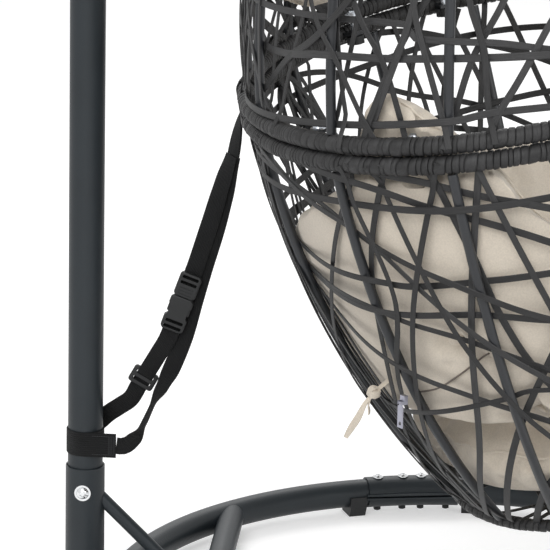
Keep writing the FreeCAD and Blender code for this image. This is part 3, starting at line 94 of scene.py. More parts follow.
placeCamera(photoView)
bpy.context.scene.view_settings.view_transform = "Standard"
for name, lamp in studio["lamps"].items():
    softLight(name, *lamp)


# Node helpers: values go into a node's inputs, and what comes from another node is linked.
def feed(tree, node, values):
    for key, value in values.items():
        if isinstance(value, bpy.types.NodeSocket):
            tree.links.new(value, node.inputs[key])
        else:
            node.inputs[key].default_value = value


def addNode(tree, kind, values=(), **options):
    node = tree.nodes.new("ShaderNode" + kind)
    for key, option in options.items():
        setattr(node, key, option)
    feed(tree, node, dict(values))
    return node


def arithmetic(tree, operation, first, second=0.0, third=0.0):
    return addNode(tree, "Math", {0: first, 1: second, 2: third}, operation=operation).outputs[0]


def vectorMath(tree, operation, first, second):
    key = "Scale" if operation == "SCALE" else 1
    return addNode(tree, "VectorMath", {0: first, key: second}, operation=operation).outputs[0]


def noiseOn(tree, place, scale, detail=2.0, roughness=0.5):
    values = {"Vector": place, "Scale": scale, "Detail": detail, "Roughness": roughness}
    return addNode(tree, "TexNoise", values).outputs


def ranged(tree, value, fromLow, fromHigh, low=0.0, high=1.0):
    values = {"Value": value, "From Min": fromLow, "From Max": fromHigh, "To Min": low, "To Max": high}
    return addNode(tree, "MapRange", values).outputs["Result"]


def mixColours(tree, factor, first, second, blend="MIX"):
    # For colours, inputs 0, 6 and 7 of this node are the factor and the two colours, and output 2 the result.
    first, second = (tint if isinstance(tint, bpy.types.NodeSocket) else (*tint, 1)
                     for tint in (first, second))
    return addNode(tree, "Mix", {0: factor, 6: first, 7: second}, data_type="RGBA",
                   blend_type=blend).outputs[2]


def multiplied(tree, first, second):
    return mixColours(tree, 1.0, first, second, "MULTIPLY")


def seenDirectly(tree):
    # 1 where the camera, a reflection or a clear material looks at the surface.
    path = addNode(tree, "LightPath")
    seen = arithmetic(tree, "MAXIMUM", path.outputs["Is Camera Ray"], path.outputs["Is Glossy Ray"])
    return arithmetic(tree, "MAXIMUM", seen, path.outputs["Is Transmission Ray"])


def newSurface(name):
    surface = bpy.data.materials.new(name)
    surface.use_nodes = True
    return surface, surface.node_tree, surface.node_tree.nodes["Principled BSDF"]


def makeFloor(settings):
    bpy.ops.object.select_all(action="DESELECT")
    bpy.ops.mesh.primitive_plane_add(size=settings["floorSide"], location=(0, 0, 0))
    floor = bpy.context.object
    floor.name = "studioFloor"
    surface, tree, shader = newSurface("studioFloor")
    glow = arithmetic(tree, "MULTIPLY", seenDirectly(tree), settings["floorGlow"])
    feed(tree, shader, {"Base Color": (*settings["floorColour"], 1), "Roughness": settings["floorRough"],
                        "Emission Color": white, "Emission Strength": glow})
    floor.data.materials.append(surface)


def makeSky(settings):
    sky = bpy.data.worlds.new("studioSky")
    sky.use_nodes = True
    tree = sky.node_tree
    low = settings["skyLevel"]
    level = arithmetic(tree, "MULTIPLY_ADD", seenDirectly(tree), 1 - low, low)
    feed(tree, tree.nodes["Background"], {"Color": white, "Strength": level})
    bpy.context.scene.world = sky


makeFloor(studio)
makeSky(studio)
print("stage set")


# Shader groups that several finishes share.
def newGroup(name, numbers, results):
    # A group that takes a place and numbers with their usual values, and gives numbers back.
    group = bpy.data.node_groups.new(name, "ShaderNodeTree")
    group.interface.new_socket(name="Vector", in_out="INPUT", socket_type="NodeSocketVector")
    for title, value in numbers.items():
        socket = group.interface.new_socket(name=title, in_out="INPUT", socket_type="NodeSocketFloat")
        socket.default_value = value
    for title in results:
        group.interface.new_socket(name=title, in_out="OUTPUT", socket_type="NodeSocketFloat")
    return group, group.nodes.new("NodeGroupInput").outputs, group.nodes.new("NodeGroupOutput")


def makeDriftGroup():
    # Soft patches that lighten and darken a colour.
    group, given, made = newGroup("toneDrift", {"Scale": 8.0, "Low": 0.85, "High": 1.15}, ["Factor"])
    patches = noiseOn(group, given["Vector"], given["Scale"], 4.0, 0.6)["Fac"]
    feed(group, made, {"Factor": ranged(group, patches, 0.3, 0.7, given["Low"], given["High"])})
    return group


def makePowderGroup():
    # Orange peel and fine grit of a sprayed or moulded surface.
    usual = {"Peel Scale": 260.0, "Grit Scale": 1500.0, "Grit": 0.4}
    group, given, made = newGroup("powderGrain", usual, ["Height", "Speck"])
    peel, grit = (noiseOn(group, given["Vector"], given[title])["Fac"]
                  for title in ("Peel Scale", "Grit Scale"))
    height = arithmetic(group, "ADD", peel, arithmetic(group, "MULTIPLY", grit, given["Grit"]))
    feed(group, made, {"Height": height, "Speck": ranged(group, grit, 0.55, 0.75)})
    return group


def makeWeaveGroup():
    # Plain weave on the two axes that lie most along the surface.
    group, given, made = newGroup("plainWeave", {"Threads": 900.0}, ["Height"])
    wobble = vectorMath(group, "SCALE", noiseOn(group, given["Vector"], 60.0, 1.0)["Color"], 0.0016)
    moved = vectorMath(group, "ADD", given["Vector"], wobble)
    scaled = vectorMath(group, "SCALE", moved, arithmetic(group, "MULTIPLY", given["Threads"], math.pi))
    axes = addNode(group, "SeparateXYZ", {0: scaled}).outputs
    normal = addNode(group, "NewGeometry").outputs["Normal"]
    facing = addNode(group, "SeparateXYZ", {0: normal})
    waves = [arithmetic(group, "SINE", axis) for axis in axes]
    total = 0.0
    for across in range(3):
        first, second = (k for k in range(3) if k != across)
        pattern = arithmetic(group, "MULTIPLY", waves[first], waves[second])
        share = arithmetic(group, "POWER", arithmetic(group, "ABSOLUTE", facing.outputs[across]), 2.0)
        total = arithmetic(group, "MULTIPLY_ADD", pattern, share, total)
    feed(group, made, {"Height": total})
    return group


driftGroup, powderGroup, weaveGroup = makeDriftGroup(), makePowderGroup(), makeWeaveGroup()


def useGroup(tree, group, place, **values):
    node = addNode(tree, "Group", {}, node_tree=group)
    feed(tree, node, {"Vector": place, **{title.replace("_", " "): value for title, value in values.items()}})
    return node.outputs


def drift(tree, place, scale, low, high):
    return useGroup(tree, driftGroup, place, Scale=scale, Low=low, High=high)["Factor"]


def newFinish(name, roughness, metallic=0.0, gloss=0.5, sheen=0.0):
    surface, tree, shader = newSurface(name)
    feed(tree, shader, {"Roughness": roughness, "Metallic": metallic, "Specular IOR Level": gloss,
                        "Sheen Weight": sheen})
    return surface, tree, shader, addNode(tree, "TexCoord").outputs["Object"]


def dress(tree, shader, colour, height, depth):
    # Gives the finish its colour and the relief of its grain.
    bump = addNode(tree, "Bump", {"Height": height, "Distance": depth, "Strength": 1.0})
    feed(tree, shader, {"Base Color": colour, "Normal": bump.outputs["Normal"]})


def roughened(tree, shader, grain, low, high):
    feed(tree, shader, {"Roughness": ranged(tree, grain, 0.0, 1.0, low, high)})


def coatedMetal(name, settings):
    # Powder coat, moulded plastic, plating: a colour that drifts, grit, and a little dust or wear.
    surface, tree, shader, place = newFinish(name, settings["rough"], settings.get("metallic", 0.0),
                                             settings.get("gloss", 0.5))
    grain = useGroup(tree, powderGroup, place, Peel_Scale=settings["peel"], Grit_Scale=settings["peel"] * 5,
                     Grit=settings.get("grit", 0.4))
    shade = multiplied(tree, settings["colour"], drift(tree, place, 9.0, 0.86, 1.14))
    speckle = arithmetic(tree, "MULTIPLY", grain["Speck"], settings.get("speck", 0.25))
    roughened(tree, shader, grain["Height"], settings["rough"] * 0.85, settings["rough"] * 1.15)
    shade = mixColours(tree, speckle, shade, settings["light"])
    dress(tree, shader, shade, grain["Height"], settings["bump"])
    return surface


finishes = {
    "frameCoat": {"colour": (0.0155, 0.0205, 0.0245), "light": (0.040, 0.047, 0.054), "rough": 0.42,
                  "gloss": 0.36, "peel": 420, "bump": 0.00016},
    "basketCoat": {"colour": (0.019, 0.0205, 0.0235), "light": (0.045, 0.048, 0.054), "rough": 0.38,
                   "gloss": 0.42, "peel": 420, "bump": 0.00016},
    "blackPlastic": {"colour": (0.0085, 0.0092, 0.0098), "light": (0.02, 0.02, 0.021), "rough": 0.5,
                     "gloss": 0.4, "peel": 900, "bump": 0.00008, "speck": 0.4},
    "zincPlate": {"colour": (0.56, 0.59, 0.63), "light": (0.78, 0.80, 0.82), "rough": 0.27, "metallic": 0.95,
                  "peel": 320, "bump": 0.00004, "grit": 0.7},
    "pullPlate": {"colour": (0.36, 0.36, 0.42), "light": (0.5, 0.5, 0.56), "rough": 0.36, "metallic": 0.9,
                  "peel": 200, "bump": 0.00003, "speck": 0.2},
    "chromePlate": {"colour": (0.70, 0.71, 0.72), "light": (0.85, 0.85, 0.85), "rough": 0.14, "metallic": 1.0,
                    "peel": 150, "bump": 0.00002, "speck": 0.1},
    "thread": {"colour": (0.018, 0.019, 0.021), "light": (0.05, 0.052, 0.056), "rough": 0.6, "peel": 1500,
               "bump": 0.0001, "speck": 0.5},
}
finish = {name: coatedMetal(name, settings) for name, settings in finishes.items()}


def strandFinish(name, settings):
    # Extruded flat strand: lengthwise grain read from the strand's own map, and its own tone.
    surface, tree, shader, place = newFinish(name, settings["rough"], gloss=0.34)
    run = addNode(tree, "UVMap", uv_map="strand").outputs[0]
    stretchedRun = addNode(tree, "Mapping", {"Vector": run, "Scale": settings["grainScale"]}).outputs[0]
    grain = noiseOn(tree, stretchedRun, 1.0, 5.0, 0.65)["Fac"]
    tone = addNode(tree, "Attribute", attribute_name="tone").outputs["Fac"]
    shade = mixColours(tree, tone, settings["dark"], settings["pale"])
    shade = multiplied(tree, shade, drift(tree, place, 14.0, 0.85, 1.2))
    shade = multiplied(tree, shade, ranged(tree, grain, 0.3, 0.7, *settings["streaks"]))
    roughened(tree, shader, grain, settings["rough"] * 0.8, settings["rough"] * 1.25)
    dress(tree, shader, shade, grain, settings["bump"])
    return surface


strandLook = {"rough": 0.52, "grainScale": (38, 11, 1), "dark": (0.0085, 0.0084, 0.0086),
              "pale": (0.033, 0.0328, 0.0335), "streaks": (0.42, 1.75), "bump": 0.0007}
finish["wicker"] = strandFinish("wicker", strandLook)


def webbingFinish(name, settings):
    # Woven strap: chevron ribs across its map, and a firm edge. The ribs' height also sets the colour, as
    # painted shade in the grooves and painted highlight on the ribs.
    surface, tree, shader, place = newFinish(name, 0.78, gloss=0.25, sheen=0.03)
    run = addNode(tree, "UVMap", uv_map="strand").outputs[0]
    axes = addNode(tree, "SeparateXYZ", {0: run}).outputs
    across = arithmetic(tree, "ABSOLUTE", arithmetic(tree, "SUBTRACT", axes[1], 0.5))
    slant = arithmetic(tree, "MULTIPLY_ADD", across, settings["slant"], axes[0])
    ribs = arithmetic(tree, "SINE", arithmetic(tree, "MULTIPLY", slant, settings["ribs"]))
    cords = arithmetic(tree, "SINE", arithmetic(tree, "MULTIPLY", axes[1], settings["cords"]))
    height = arithmetic(tree, "MULTIPLY_ADD", ribs, 0.6, cords)
    # painted shade in the grooves and painted highlight on the raised ribs: the colour runs from dark to pale
    # with the ribs' height
    shade = mixColours(tree, ranged(tree, height, -1.6, 1.6), settings["dark"], settings["pale"])
    shade = multiplied(tree, shade, drift(tree, place, 40.0, 0.8, 1.25))
    dress(tree, shader, shade, height, settings["bump"])
    return surface


# dark and pale are the webbing's colour in the painted shade of the grooves and under the painted highlight
# on the ribs
webbingLook = {"slant": 0.02, "ribs": 3900, "cords": 75, "bump": 0.0004, "dark": (0.0016, 0.0017, 0.0019),
               "pale": (0.0085, 0.0090, 0.0098)}
finish["webbing"] = webbingFinish("webbing", webbingLook)


def clothFinish(name, settings):
    # Plain woven cover, with threads of uneven thickness. The weave's height also sets the colour, as painted
    # shade in the hollows between the threads.
    surface, tree, shader, place = newFinish(name, 0.85, sheen=0.25)
    weave = useGroup(tree, weaveGroup, place, Threads=settings["threads"])["Height"]
    slub = noiseOn(tree, place, 420.0, 3.0)["Fac"]
    # painted shade in the weave's hollows: the colour runs from dark to pale with the weave's height
    shade = mixColours(tree, ranged(tree, weave, -1.0, 1.0), settings["dark"], settings["pale"])
    shade = multiplied(tree, shade, ranged(tree, slub, 0.3, 0.7, 0.93, 1.07))
    shade = multiplied(tree, shade, drift(tree, place, 6.0, 0.94, 1.06))
    dress(tree, shader, shade, arithmetic(tree, "MULTIPLY_ADD", slub, 0.5, weave), settings["bump"])
    return surface


# dark and pale are the cloth's colour in the painted shade of the weave's hollows and on the raised threads
clothLooks = {"cushionCloth": {"threads": 1100, "bump": 0.00022, "dark": (0.60, 0.53, 0.435),
                               "pale": (0.74, 0.665, 0.565)},
              # this dark finish is painted shade, for the strips laid along creases and a seam of the
              # cushions
              "creaseShadeCloth": {"threads": 1400, "bump": 0.0002, "dark": (0.085, 0.062, 0.045),
                           "pale": (0.15, 0.115, 0.085)}}
for name, settings in clothLooks.items():
    finish[name] = clothFinish(name, settings)
print("finishes made")


def coat(mesh, finishName):
    mesh.materials.clear()
    mesh.materials.append(finish[finishName])


# CAD nodes that keep their shape take a finer finish.
keptNodes = {
    "frameCoat": ["base_front_arc", "base_rear_arc", "coupler_uppers", "coupler_lowers", "cross_tube",
                  "pole_brace", "pole_socket", "socket_foot", "lower_pole", "upper_pole", "stand_eye"],
    "basketCoat": ["upper_ribs", "lower_ribs", "crown_ring", "crown_loop", "upper_rim_tube",
                   "upper_ring_tube", "lower_ring_tube", "lower_rim_tube", "ring_lugs", "bottom_ring"],
    "blackPlastic": ["base_feet", "arch_end_cap", "ring_knobs", "spring_bottom_cap", "coupler_nuts"],
    "zincPlate": ["socket_nut", "pole_joint_nuts", "upper_snap_hook", "upper_snap_gate", "lower_snap_hook",
                  "lower_snap_gate", "swivel_eye", "spring_coil", "spring_top_eye", "ring_bolts"],
    "chromePlate": ["coupler_bolts", "socket_bolt", "pole_joint_bolts"],
    "pullPlate": ["zip_slider", "zip_pull"],
}
for finishName, names in keptNodes.items():
    for name in names:
        coat(cadNodes[name].data, finishName)

# The coil runs from its upper fitting down to the foot that drops away from it, and is copied as it is into a
# piece of its own in place of its CAD node.
coil = linked(bpy.data.objects.new("springCoil", cadNodes["spring_coil"].data.copy()))
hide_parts("spring_coil")
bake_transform(coil)
print("kept nodes finished")

# The basket's surface, as the CAD model has it: a bowl below the ring joint and a dome above it.
basketShape = {"centre": (0, -0.042, 0.834), "lean": -10, "halfWidth": 0.546, "halfDepth": 0.350,
               "bottomHalfDepth": 0.185, "bowlDepth": 0.585, "bowlBulge": 0.044, "bowlLean": 0.06,
               "crownHalfDepth": 0.060, "domeHeight": 0.625, "domeStart": 5, "domeEnd": 8,
               "crownSetback": -0.09903, "ringRise": 0.0125, "wrapRadius": 0.012, "ringReach": -23,
               "ringEnd": -20, "rimDrop": 0.380, "upperRimTop": 0.585}
halfDepth, bottomHalfDepth, crownHalfDepth, bowlDepth, domeHeight, ringRise, rimDrop, upperRimTop = (
    basketShape[key] for key in ("halfDepth", "bottomHalfDepth", "crownHalfDepth", "bowlDepth", "domeHeight",
                                 "ringRise", "rimDrop", "upperRimTop"))
basketPlace = (Matrix.Translation(basketShape["centre"])
               @ Matrix.Rotation(math.radians(basketShape["lean"]), 4, "X"))
stretch = basketShape["halfWidth"] / halfDepth
domeLean = basketShape["crownSetback"] / domeHeight


def bulgedArc(start, end, bulge):
    # Centre and radius of the arc from start to end that stands out by the bulge.
    chord = Vector(end) - Vector(start)
    out = Vector((-chord.y, chord.x)).normalized()
    if out.x < 0:
        out.negate()
    radius = (chord.length ** 2 / 4 + bulge ** 2) / (2 * bulge)
    return (Vector(start) + Vector(end)) / 2 - out * (radius - bulge), radius


def twoArcs(start, startWay, end, endWay):
    # The height where two tangent arcs meet, and each arc's centre and radius.
    between, ways = end - start, startWay + endWay
    spread = 2 * (1 - startWay.dot(endWay))
    along = between.dot(ways)
    reach = (math.sqrt(along ** 2 + spread * between.length_squared) - along) / spread
    meeting = (start + startWay * reach + end - endWay * reach) / 2
    arcs = []
    for place, way, far in ((start, startWay, meeting), (end, endWay, meeting)):
        side, step = Vector((way.y, -way.x)), far - place
        offset = step.length_squared / (2 * step.dot(side))
        arcs.append((place + side * offset, abs(offset)))
    return meeting.y, arcs


bowlArc = bulgedArc((halfDepth, 0), (bottomHalfDepth, -bowlDepth), basketShape["bowlBulge"])
startSlope, endSlope = math.radians(basketShape["domeStart"]), math.radians(basketShape["domeEnd"])
domeMeeting, domeArcs = twoArcs(Vector((halfDepth, 0)), Vector((math.sin(startSlope), math.cos(startSlope))),
                                Vector((crownHalfDepth, domeHeight)),
                                Vector((-math.cos(endSlope), math.sin(endSlope))))


def depthAt(height):
    if height < 0:
        centre, radius = bowlArc
    else:
        centre, radius = domeArcs[0 if height < domeMeeting else 1]
    return centre.x + math.sqrt(max(radius ** 2 - (height - centre.y) ** 2, 0))


def leanAt(height):
    return (basketShape["bowlLean"] if height < 0 else domeLean) * height


def wallSpot(turn, height):
    depth = depthAt(height)
    return Vector((depth * stretch * math.cos(turn), depth * math.sin(turn) + leanAt(height), height))


def wallPoint(angle, height, out=0.0):
    # A point of the wall, and the way out of it, in the basket's own frame.
    turn, depth = math.radians(angle), depthAt(height)
    step = 0.002 if height < 0 else -0.002
    point, climb = wallSpot(turn, height), wallSpot(turn, height + step)
    along = Vector((-depth * stretch * math.sin(turn), depth * math.cos(turn), 0))
    normal = along.cross((climb - point) / step).normalized()
    return point + normal * out, normal


rimStart = halfDepth * math.sin(math.radians(-basketShape["ringEnd"]))
lowerFall = (depthAt(-rimDrop) - rimStart) / rimDrop
upperFall = (rimStart - depthAt(upperRimTop)) / upperRimTop


def behindOpening(angle, height):
    # How far a point of the wall is behind the plane of the front opening, along the basket's depth.
    fall = lowerFall if height < 0 else upperFall
    return depthAt(height) * math.sin(math.radians(angle)) + rimStart - fall * height


def rimHeight(angle, low, high):
    for _ in range(40):
        middle = (low + high) / 2
        if (behindOpening(angle, middle) > 0) == (high > 0):
            high = middle
        else:
            low = middle
    return (low + high) / 2


print("basket surface ready")


# Mesh parts are gathered as points, faces, a running map and a tone, and become one piece.
def newParts():
    return {"points": [], "faces": [], "run": [], "tone": []}


def runLengths(points):
    # The length of the line up to each of its points.
    lengths = [0.0]
    for first, second in zip(points, points[1:]):
        lengths.append(lengths[-1] + (second - first).length)
    return lengths


def eased(share):
    return share ** 2 * (3 - 2 * share)


def smoothLine(stations, step):
    # Even points on a smooth line through the stations.
    ends = [stations[0] * 2 - stations[1], *stations, stations[-1] * 2 - stations[-2]]
    dense = []
    for k in range(1, len(ends) - 2):
        before, here, there, after = ends[k - 1:k + 3]
        for j in range(16):
            t = j / 16
            bend = (2 * before - 5 * here + 4 * there - after) * t ** 2
            turn = (3 * here - before - 3 * there + after) * t ** 3
            dense.append(0.5 * (2 * here + (there - before) * t + bend + turn))
    dense.append(stations[-1])
    lengths = runLengths(dense)
    count = max(2, round(lengths[-1] / step))
    line, k = [], 0
    for j in range(count + 1):
        goal = lengths[-1] * j / count
        while k < len(lengths) - 2 and lengths[k + 1] < goal:
            k += 1
        share = (goal - lengths[k]) / max(lengths[k + 1] - lengths[k], 1e-9)
        line.append(dense[k].lerp(dense[k + 1], min(share, 1)))
    return line


def directionsOf(line):
    last = len(line) - 1
    return [(line[min(k + 1, last)] - line[max(k - 1, 0)]).normalized() for k in range(len(line))]


def addRibbon(parts, line, faceWays, width, thickness, tone=0.5, lip=0.1):
    # A flat strip along the line, its broad side towards faceWays, closed at both ends. The width is one
    # number, or one for each point.
    rim = 0.5 - lip
    outline = [(-0.5, 0), (-rim, 0.5), (rim, 0.5), (0.5, 0), (rim, -0.5), (-rim, -0.5)]
    start, run, sides = len(parts["points"]), 0.0, len(outline)
    for k, (point, way, face) in enumerate(zip(line, directionsOf(line), faceWays)):
        side = way.cross(face).normalized()
        up = side.cross(way)
        run += (point - line[k - 1]).length if k else 0.0
        wide = width[k] if isinstance(width, list) else width
        for across, rise in outline:
            parts["points"].append(point + side * (across * wide) + up * (rise * thickness))
            parts["run"].append((run, 0.5 + across))
            parts["tone"].append(tone)
    for k in range(len(line) - 1):
        low = start + k * sides
        for j in range(sides):
            nextJ = (j + 1) % sides
            parts["faces"].append((low + j, low + nextJ, low + sides + nextJ, low + sides + j))
    last = start + (len(line) - 1) * sides
    parts["faces"].append(tuple(start + j for j in reversed(range(sides))))
    parts["faces"].append(tuple(last + j for j in range(sides)))


def pieceFrom(name, parts, body, finishName, replaced=(), place=None, crease=38):
    mesh = bpy.data.meshes.new(name)
    points = [place @ point for point in parts["points"]] if place else parts["points"]
    mesh.from_pydata(points, [], parts["faces"])
    run = mesh.uv_layers.new(name="strand")
    corners = [0] * len(mesh.loops)
    mesh.loops.foreach_get("vertex_index", corners)
    run.data.foreach_set("uv", [value for corner in corners for value in parts["run"][corner]])
    mesh.attributes.new("tone", "FLOAT", "POINT").data.foreach_set("value", parts["tone"])
    return finishedPiece(name, mesh, body, finishName, replaced, crease)


def finishedPiece(name, mesh, body, finishName, replaced=(), crease=38):
    coat(mesh, finishName)
    work = bmesh.new()
    work.from_mesh(mesh)
    bmesh.ops.recalc_face_normals(work, faces=work.faces)
    work.to_mesh(mesh)
    work.free()
    mesh.polygons.foreach_set("use_smooth", [True] * len(mesh.polygons))
    mesh.set_sharp_from_angle(angle=math.radians(crease))
    piece = linked(bpy.data.objects.new(name, mesh))
    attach(piece, body)
    if replaced:
        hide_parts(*replaced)
    return piece


def wickerPiece(name, parts, *replaced):
    pieceFrom(name, parts, "basket", "wicker", replaced, basketPlace)


# Wicker strands: stations are angle and height on the wall. They pass over and under the ribs.
weaveLook = {"width": 0.0092, "thickness": 0.0017, "step": 0.011, "wave": 0.0074, "ribStep": 27, "tuck": 0.03,
             "ringStop": 0.0165, "overStop": 0.004, "overRing": 0.0131, "rimOverlap": 0.004,
             "bottomOverlap": 0.002, "crownOverlap": 0.001, "fewest": 5,
             "longestRunOut": 80, "nearRing": 0.012}  # a run-out's angle, and where it counts as at a ring
dice = random.Random(11)


def ribShare(angle, phase):
    return math.cos(math.pi * (angle - 90) / weaveLook["ribStep"] + phase)


def stationRun(stations, spacing=0.012):
    # Fine steps along the stations, in angle and height.
    flat = [Vector((angle / 100, height, 0)) for angle, height in stations]
    return [(point.x * 100, point.y) for point in smoothLine(flat, spacing)]


def heldInside(angle, height, over):
    # Whether a place on the wall is between the ring joint and the bottom or crown, and behind the opening.
    edge = weaveLook["overStop" if over else "ringStop"]
    if behindOpening(angle, height) <= -weaveLook["rimOverlap"]:
        return False
    if height < 0:
        return -bowlDepth - weaveLook["bottomOverlap"] < height < -edge
    return edge < height < domeHeight + weaveLook["crownOverlap"]


def runOut(stations):
    # Carries the last stretch straight on until it meets a ring, a rim or the bottom.
    before, last = stations[-2], stations[-1]
    stepAngle, stepHeight = (last[0] - before[0]) / 8, (last[1] - before[1]) / 8
    angle, height = last
    while (abs(angle - last[0]) < weaveLook["longestRunOut"] and abs(height) > weaveLook["nearRing"]
           and heldInside(angle, height, True)):
        angle, height = angle + stepAngle, height + stepHeight
    return stations if (angle, height) == last else stations + [(angle, height)]


def keptStretch(stations, over):
    # The first stretch of the strand that is long enough and lies inside.
    kept = []
    for place in stationRun(stations):
        if heldInside(*place, over):
            kept.append(place)
        elif len(kept) >= weaveLook["fewest"]:
            break
        else:
            kept = []
    return kept


def addStrand(parts, stations, over=False):
    # One flat strand laid on the wall through the stations, cut off where it tucks into a ring or rim.
    phase = math.pi * dice.randrange(2) + dice.uniform(-0.3, 0.3)
    base = dice.uniform(-0.0012, 0.0022)
    tone, width = dice.uniform(0.15, 0.85), weaveLook["width"] * dice.uniform(0.9, 1.08)
    kept = keptStretch(stations, over)
    if len(kept) < weaveLook["fewest"]:
        return
    line, ways = [], []
    reach = runLengths([wallPoint(*place)[0] for place in kept])
    for (angle, height), distance in zip(kept, reach):
        ease = eased(min(min(distance, reach[-1] - distance) / weaveLook["tuck"], 1))
        out = (weaveLook["wave"] * ribShare(angle, phase) + base) * ease
        fromRing = abs(height) - ringRise
        if over and abs(fromRing) < weaveLook["overRing"]:
            out = max(out, math.sqrt(weaveLook["overRing"] ** 2 - fromRing ** 2))
        point, way = wallPoint(angle, height, out)
        line.append(point)
        ways.append(way)
    even = smoothLine(line[::2] + ([line[-1]] if len(line) % 2 == 0 else []), weaveLook["step"])
    faces = [ways[min(round(k * (len(ways) - 1) / (len(even) - 1)), len(ways) - 1)] for k in range(len(even))]
    addRibbon(parts, even, faces, width, weaveLook["thickness"], tone)


# Strands laid on the near side, mirrored on the far side with small changes.
lowerStrands = [
    [(100, -.060), (135, -.069), (165, -.069), (188, -.072), (204, -.080)],
    [(120, -.020), (148, -.033), (165, -.071), (187, -.127), (215, -.235), (240, -.36)],
    [(140, -.016), (159, -.028), (174, -.056), (189, -.084), (206, -.13)],
    [(95, -.15), (135, -.168), (156, -.178), (175, -.174), (186, -.170), (212, -.165)],
    [(120, -.04), (149, -.129), (167, -.172), (184, -.232), (222, -.36), (262, -.46)],
    [(110, -.20), (150, -.217), (168, -.222), (184, -.235), (214, -.26), (250, -.40)],
    [(88, -.12), (130, -.201), (155, -.237), (182, -.310), (225, -.42), (270, -.50)],
    [(105, -.20), (138, -.280), (155, -.326), (174, -.381), (215, -.47), (262, -.56)],
    [(110, -.41), (145, -.372), (168, -.353), (181, -.341), (225, -.36), (260, -.39)],
    [(112, -.016), (135, -.083), (147, -.123), (162, -.21), (185, -.34), (215, -.50), (235, -.60)],
    [(153, .0), (155, -.046), (159, -.146), (164, -.255), (174, -.377), (190, -.50), (202, -.60)],
    [(165, .0), (167, -.042), (171, -.139), (174, -.233), (180, -.322), (196, -.45), (214, -.60)],
    [(175, .0), (177, -.034), (183, -.171), (190, -.31), (200, -.46), (212, -.60)],
    [(147, .0), (148, -.060), (151, -.151), (150, -.225), (140, -.36), (128, -.60)],
    [(150, .0), (147, -.034), (138, -.115), (131, -.189), (118, -.33), (96, -.60)],
    [(158, .0), (155, -.033), (146, -.147), (137, -.322), (126, -.46), (112, -.60)],
    [(170, .0), (167, -.031), (156, -.190), (144, -.381), (133, -.50), (120, -.60)],
    [(178, .0), (176, -.033), (167, -.226), (159, -.399), (150, -.50), (138, -.60)],
    [(206, -.02), (198, -.14), (182, -.30), (168, -.42), (148, -.60)],
    [(218, -.12), (206, -.30), (190, -.42), (170, -.52), (158, -.60)],
    [(190, .0), (196, -.10), (206, -.22), (222, -.36), (246, -.50), (262, -.60)],
]
upperStrands = [
    [(141, .62), (138, .34), (135, .191), (132, .121), (128, .041), (126, .0)],
    [(118, .62), (130, .36), (139, .194), (147, .117), (154, .033), (157, .0)],
    [(128, .62), (140, .38), (150, .197), (157, .119), (161, .04), (163, .0)],
    [(160, .50), (153, .28), (149, .153), (144, .036), (142, .0)],
    [(186, .42), (170, .24), (161, .147), (154, .048), (151, .0)],
    [(143, .62), (144, .36), (144, .190), (145, .122), (147, .040), (148, .0)],
    [(84, .10), (119, .113), (143, .126), (161, .123), (176, .117), (191, .109), (204, .10)],
    [(100, .0), (116, .050), (130, .110), (143, .157), (160, .27), (186, .46)],
    [(172, .48), (167, .28), (164, .196), (161, .137), (155, .05), (152, .0)],
    [(158, .46), (162, .26), (164, .181), (167, .117), (170, .052), (172, .0)],
    [(170, .46), (173, .28), (175, .190), (178, .128), (179, .06), (181, .0)],
    [(196, .42), (188, .27), (182, .185), (176, .122), (173, .07), (170, .0)],
    [(210, .36), (196, .19), (191, .143), (185, .083), (181, .045), (178, .0)],
    [(112, .030), (135, .033), (162, .043), (173, .045), (180, .049), (191, .042), (203, .030)],
    [(150, .17), (163, .150), (173, .141), (181, .133), (191, .114), (203, .09)],
    [(95, .30), (125, .27), (155, .25), (180, .22), (204, .20)],
    [(90, .40), (130, .42), (165, .38), (195, .31)],
]


pairLook = {"shift": 3, "near": 96, "far": 84, "joined": (0.012, 0.56)}
scatterLook = {"bow": 7, "tries": 6, "overShare": 0.35, "angles": (133, 190), "heights": (-0.40, 0.22)}


def mirrored(stations, shift):
    return [(180 - angle + shift * (1 - abs(height) * 1.2), height) for angle, height in stations]


def layPair(parts, stations, overNear):
    # A strand of the near side and its twin on the far side, in one length where both start behind.
    twin = mirrored(stations, dice.uniform(-pairLook["shift"], pairLook["shift"]))
    low, high = pairLook["joined"]
    if low < abs(stations[0][1]) < high:
        behind = [place for place in stations if place[0] > pairLook["near"]]
        beyond = [place for place in twin if place[0] < pairLook["far"]]
        addStrand(parts, list(reversed(runOut(behind))) + runOut(beyond), overNear)
    else:
        addStrand(parts, runOut(stations), overNear)
        addStrand(parts, runOut(twin), not overNear)


def clearOfHandLaid(stations):
    left, right = scatterLook["angles"]
    low, high = scatterLook["heights"]
    return not any(left < angle < right and low < height < high
                   for angle, height in stationRun(stations, 0.03))


def scattered(parts, count, startAngles, endAngles, startHeights, endHeights):
    # Strands between two bands of places, kept only where they stay out of the listed part.
    made = 0
    for _ in range(count * scatterLook["tries"]):
        if made == count:
            break
        first = (dice.uniform(*startAngles), dice.uniform(*startHeights))
        last = (dice.uniform(*endAngles), dice.uniform(*endHeights))
        bow = dice.uniform(-scatterLook["bow"], scatterLook["bow"])
        middle = ((first[0] + last[0]) / 2 + bow, (first[1] + last[1]) / 2)
        stations = runOut([first, middle, last])
        stations = list(reversed(runOut(list(reversed(stations)))))
        if clearOfHandLaid(stations):
            addStrand(parts, stations, over=dice.random() < scatterLook["overShare"])
            made += 1


wrapLook = {"width": 0.0084, "spread": (0.7, 1, 1, 1.3, 1.9), "tilt": 0.0012, "swell": 0.0004, "around": 14,
            "shape": ((0.0, 0.0019), (0.10, 0.0004), (0.24, 0.0), (0.76, 0.0), (0.90, 0.0004)),
            "step": 0.006, "bottomRadius": 0.0089, "crownRadius": 0.0084}
upright = Vector((0, 0, 1))


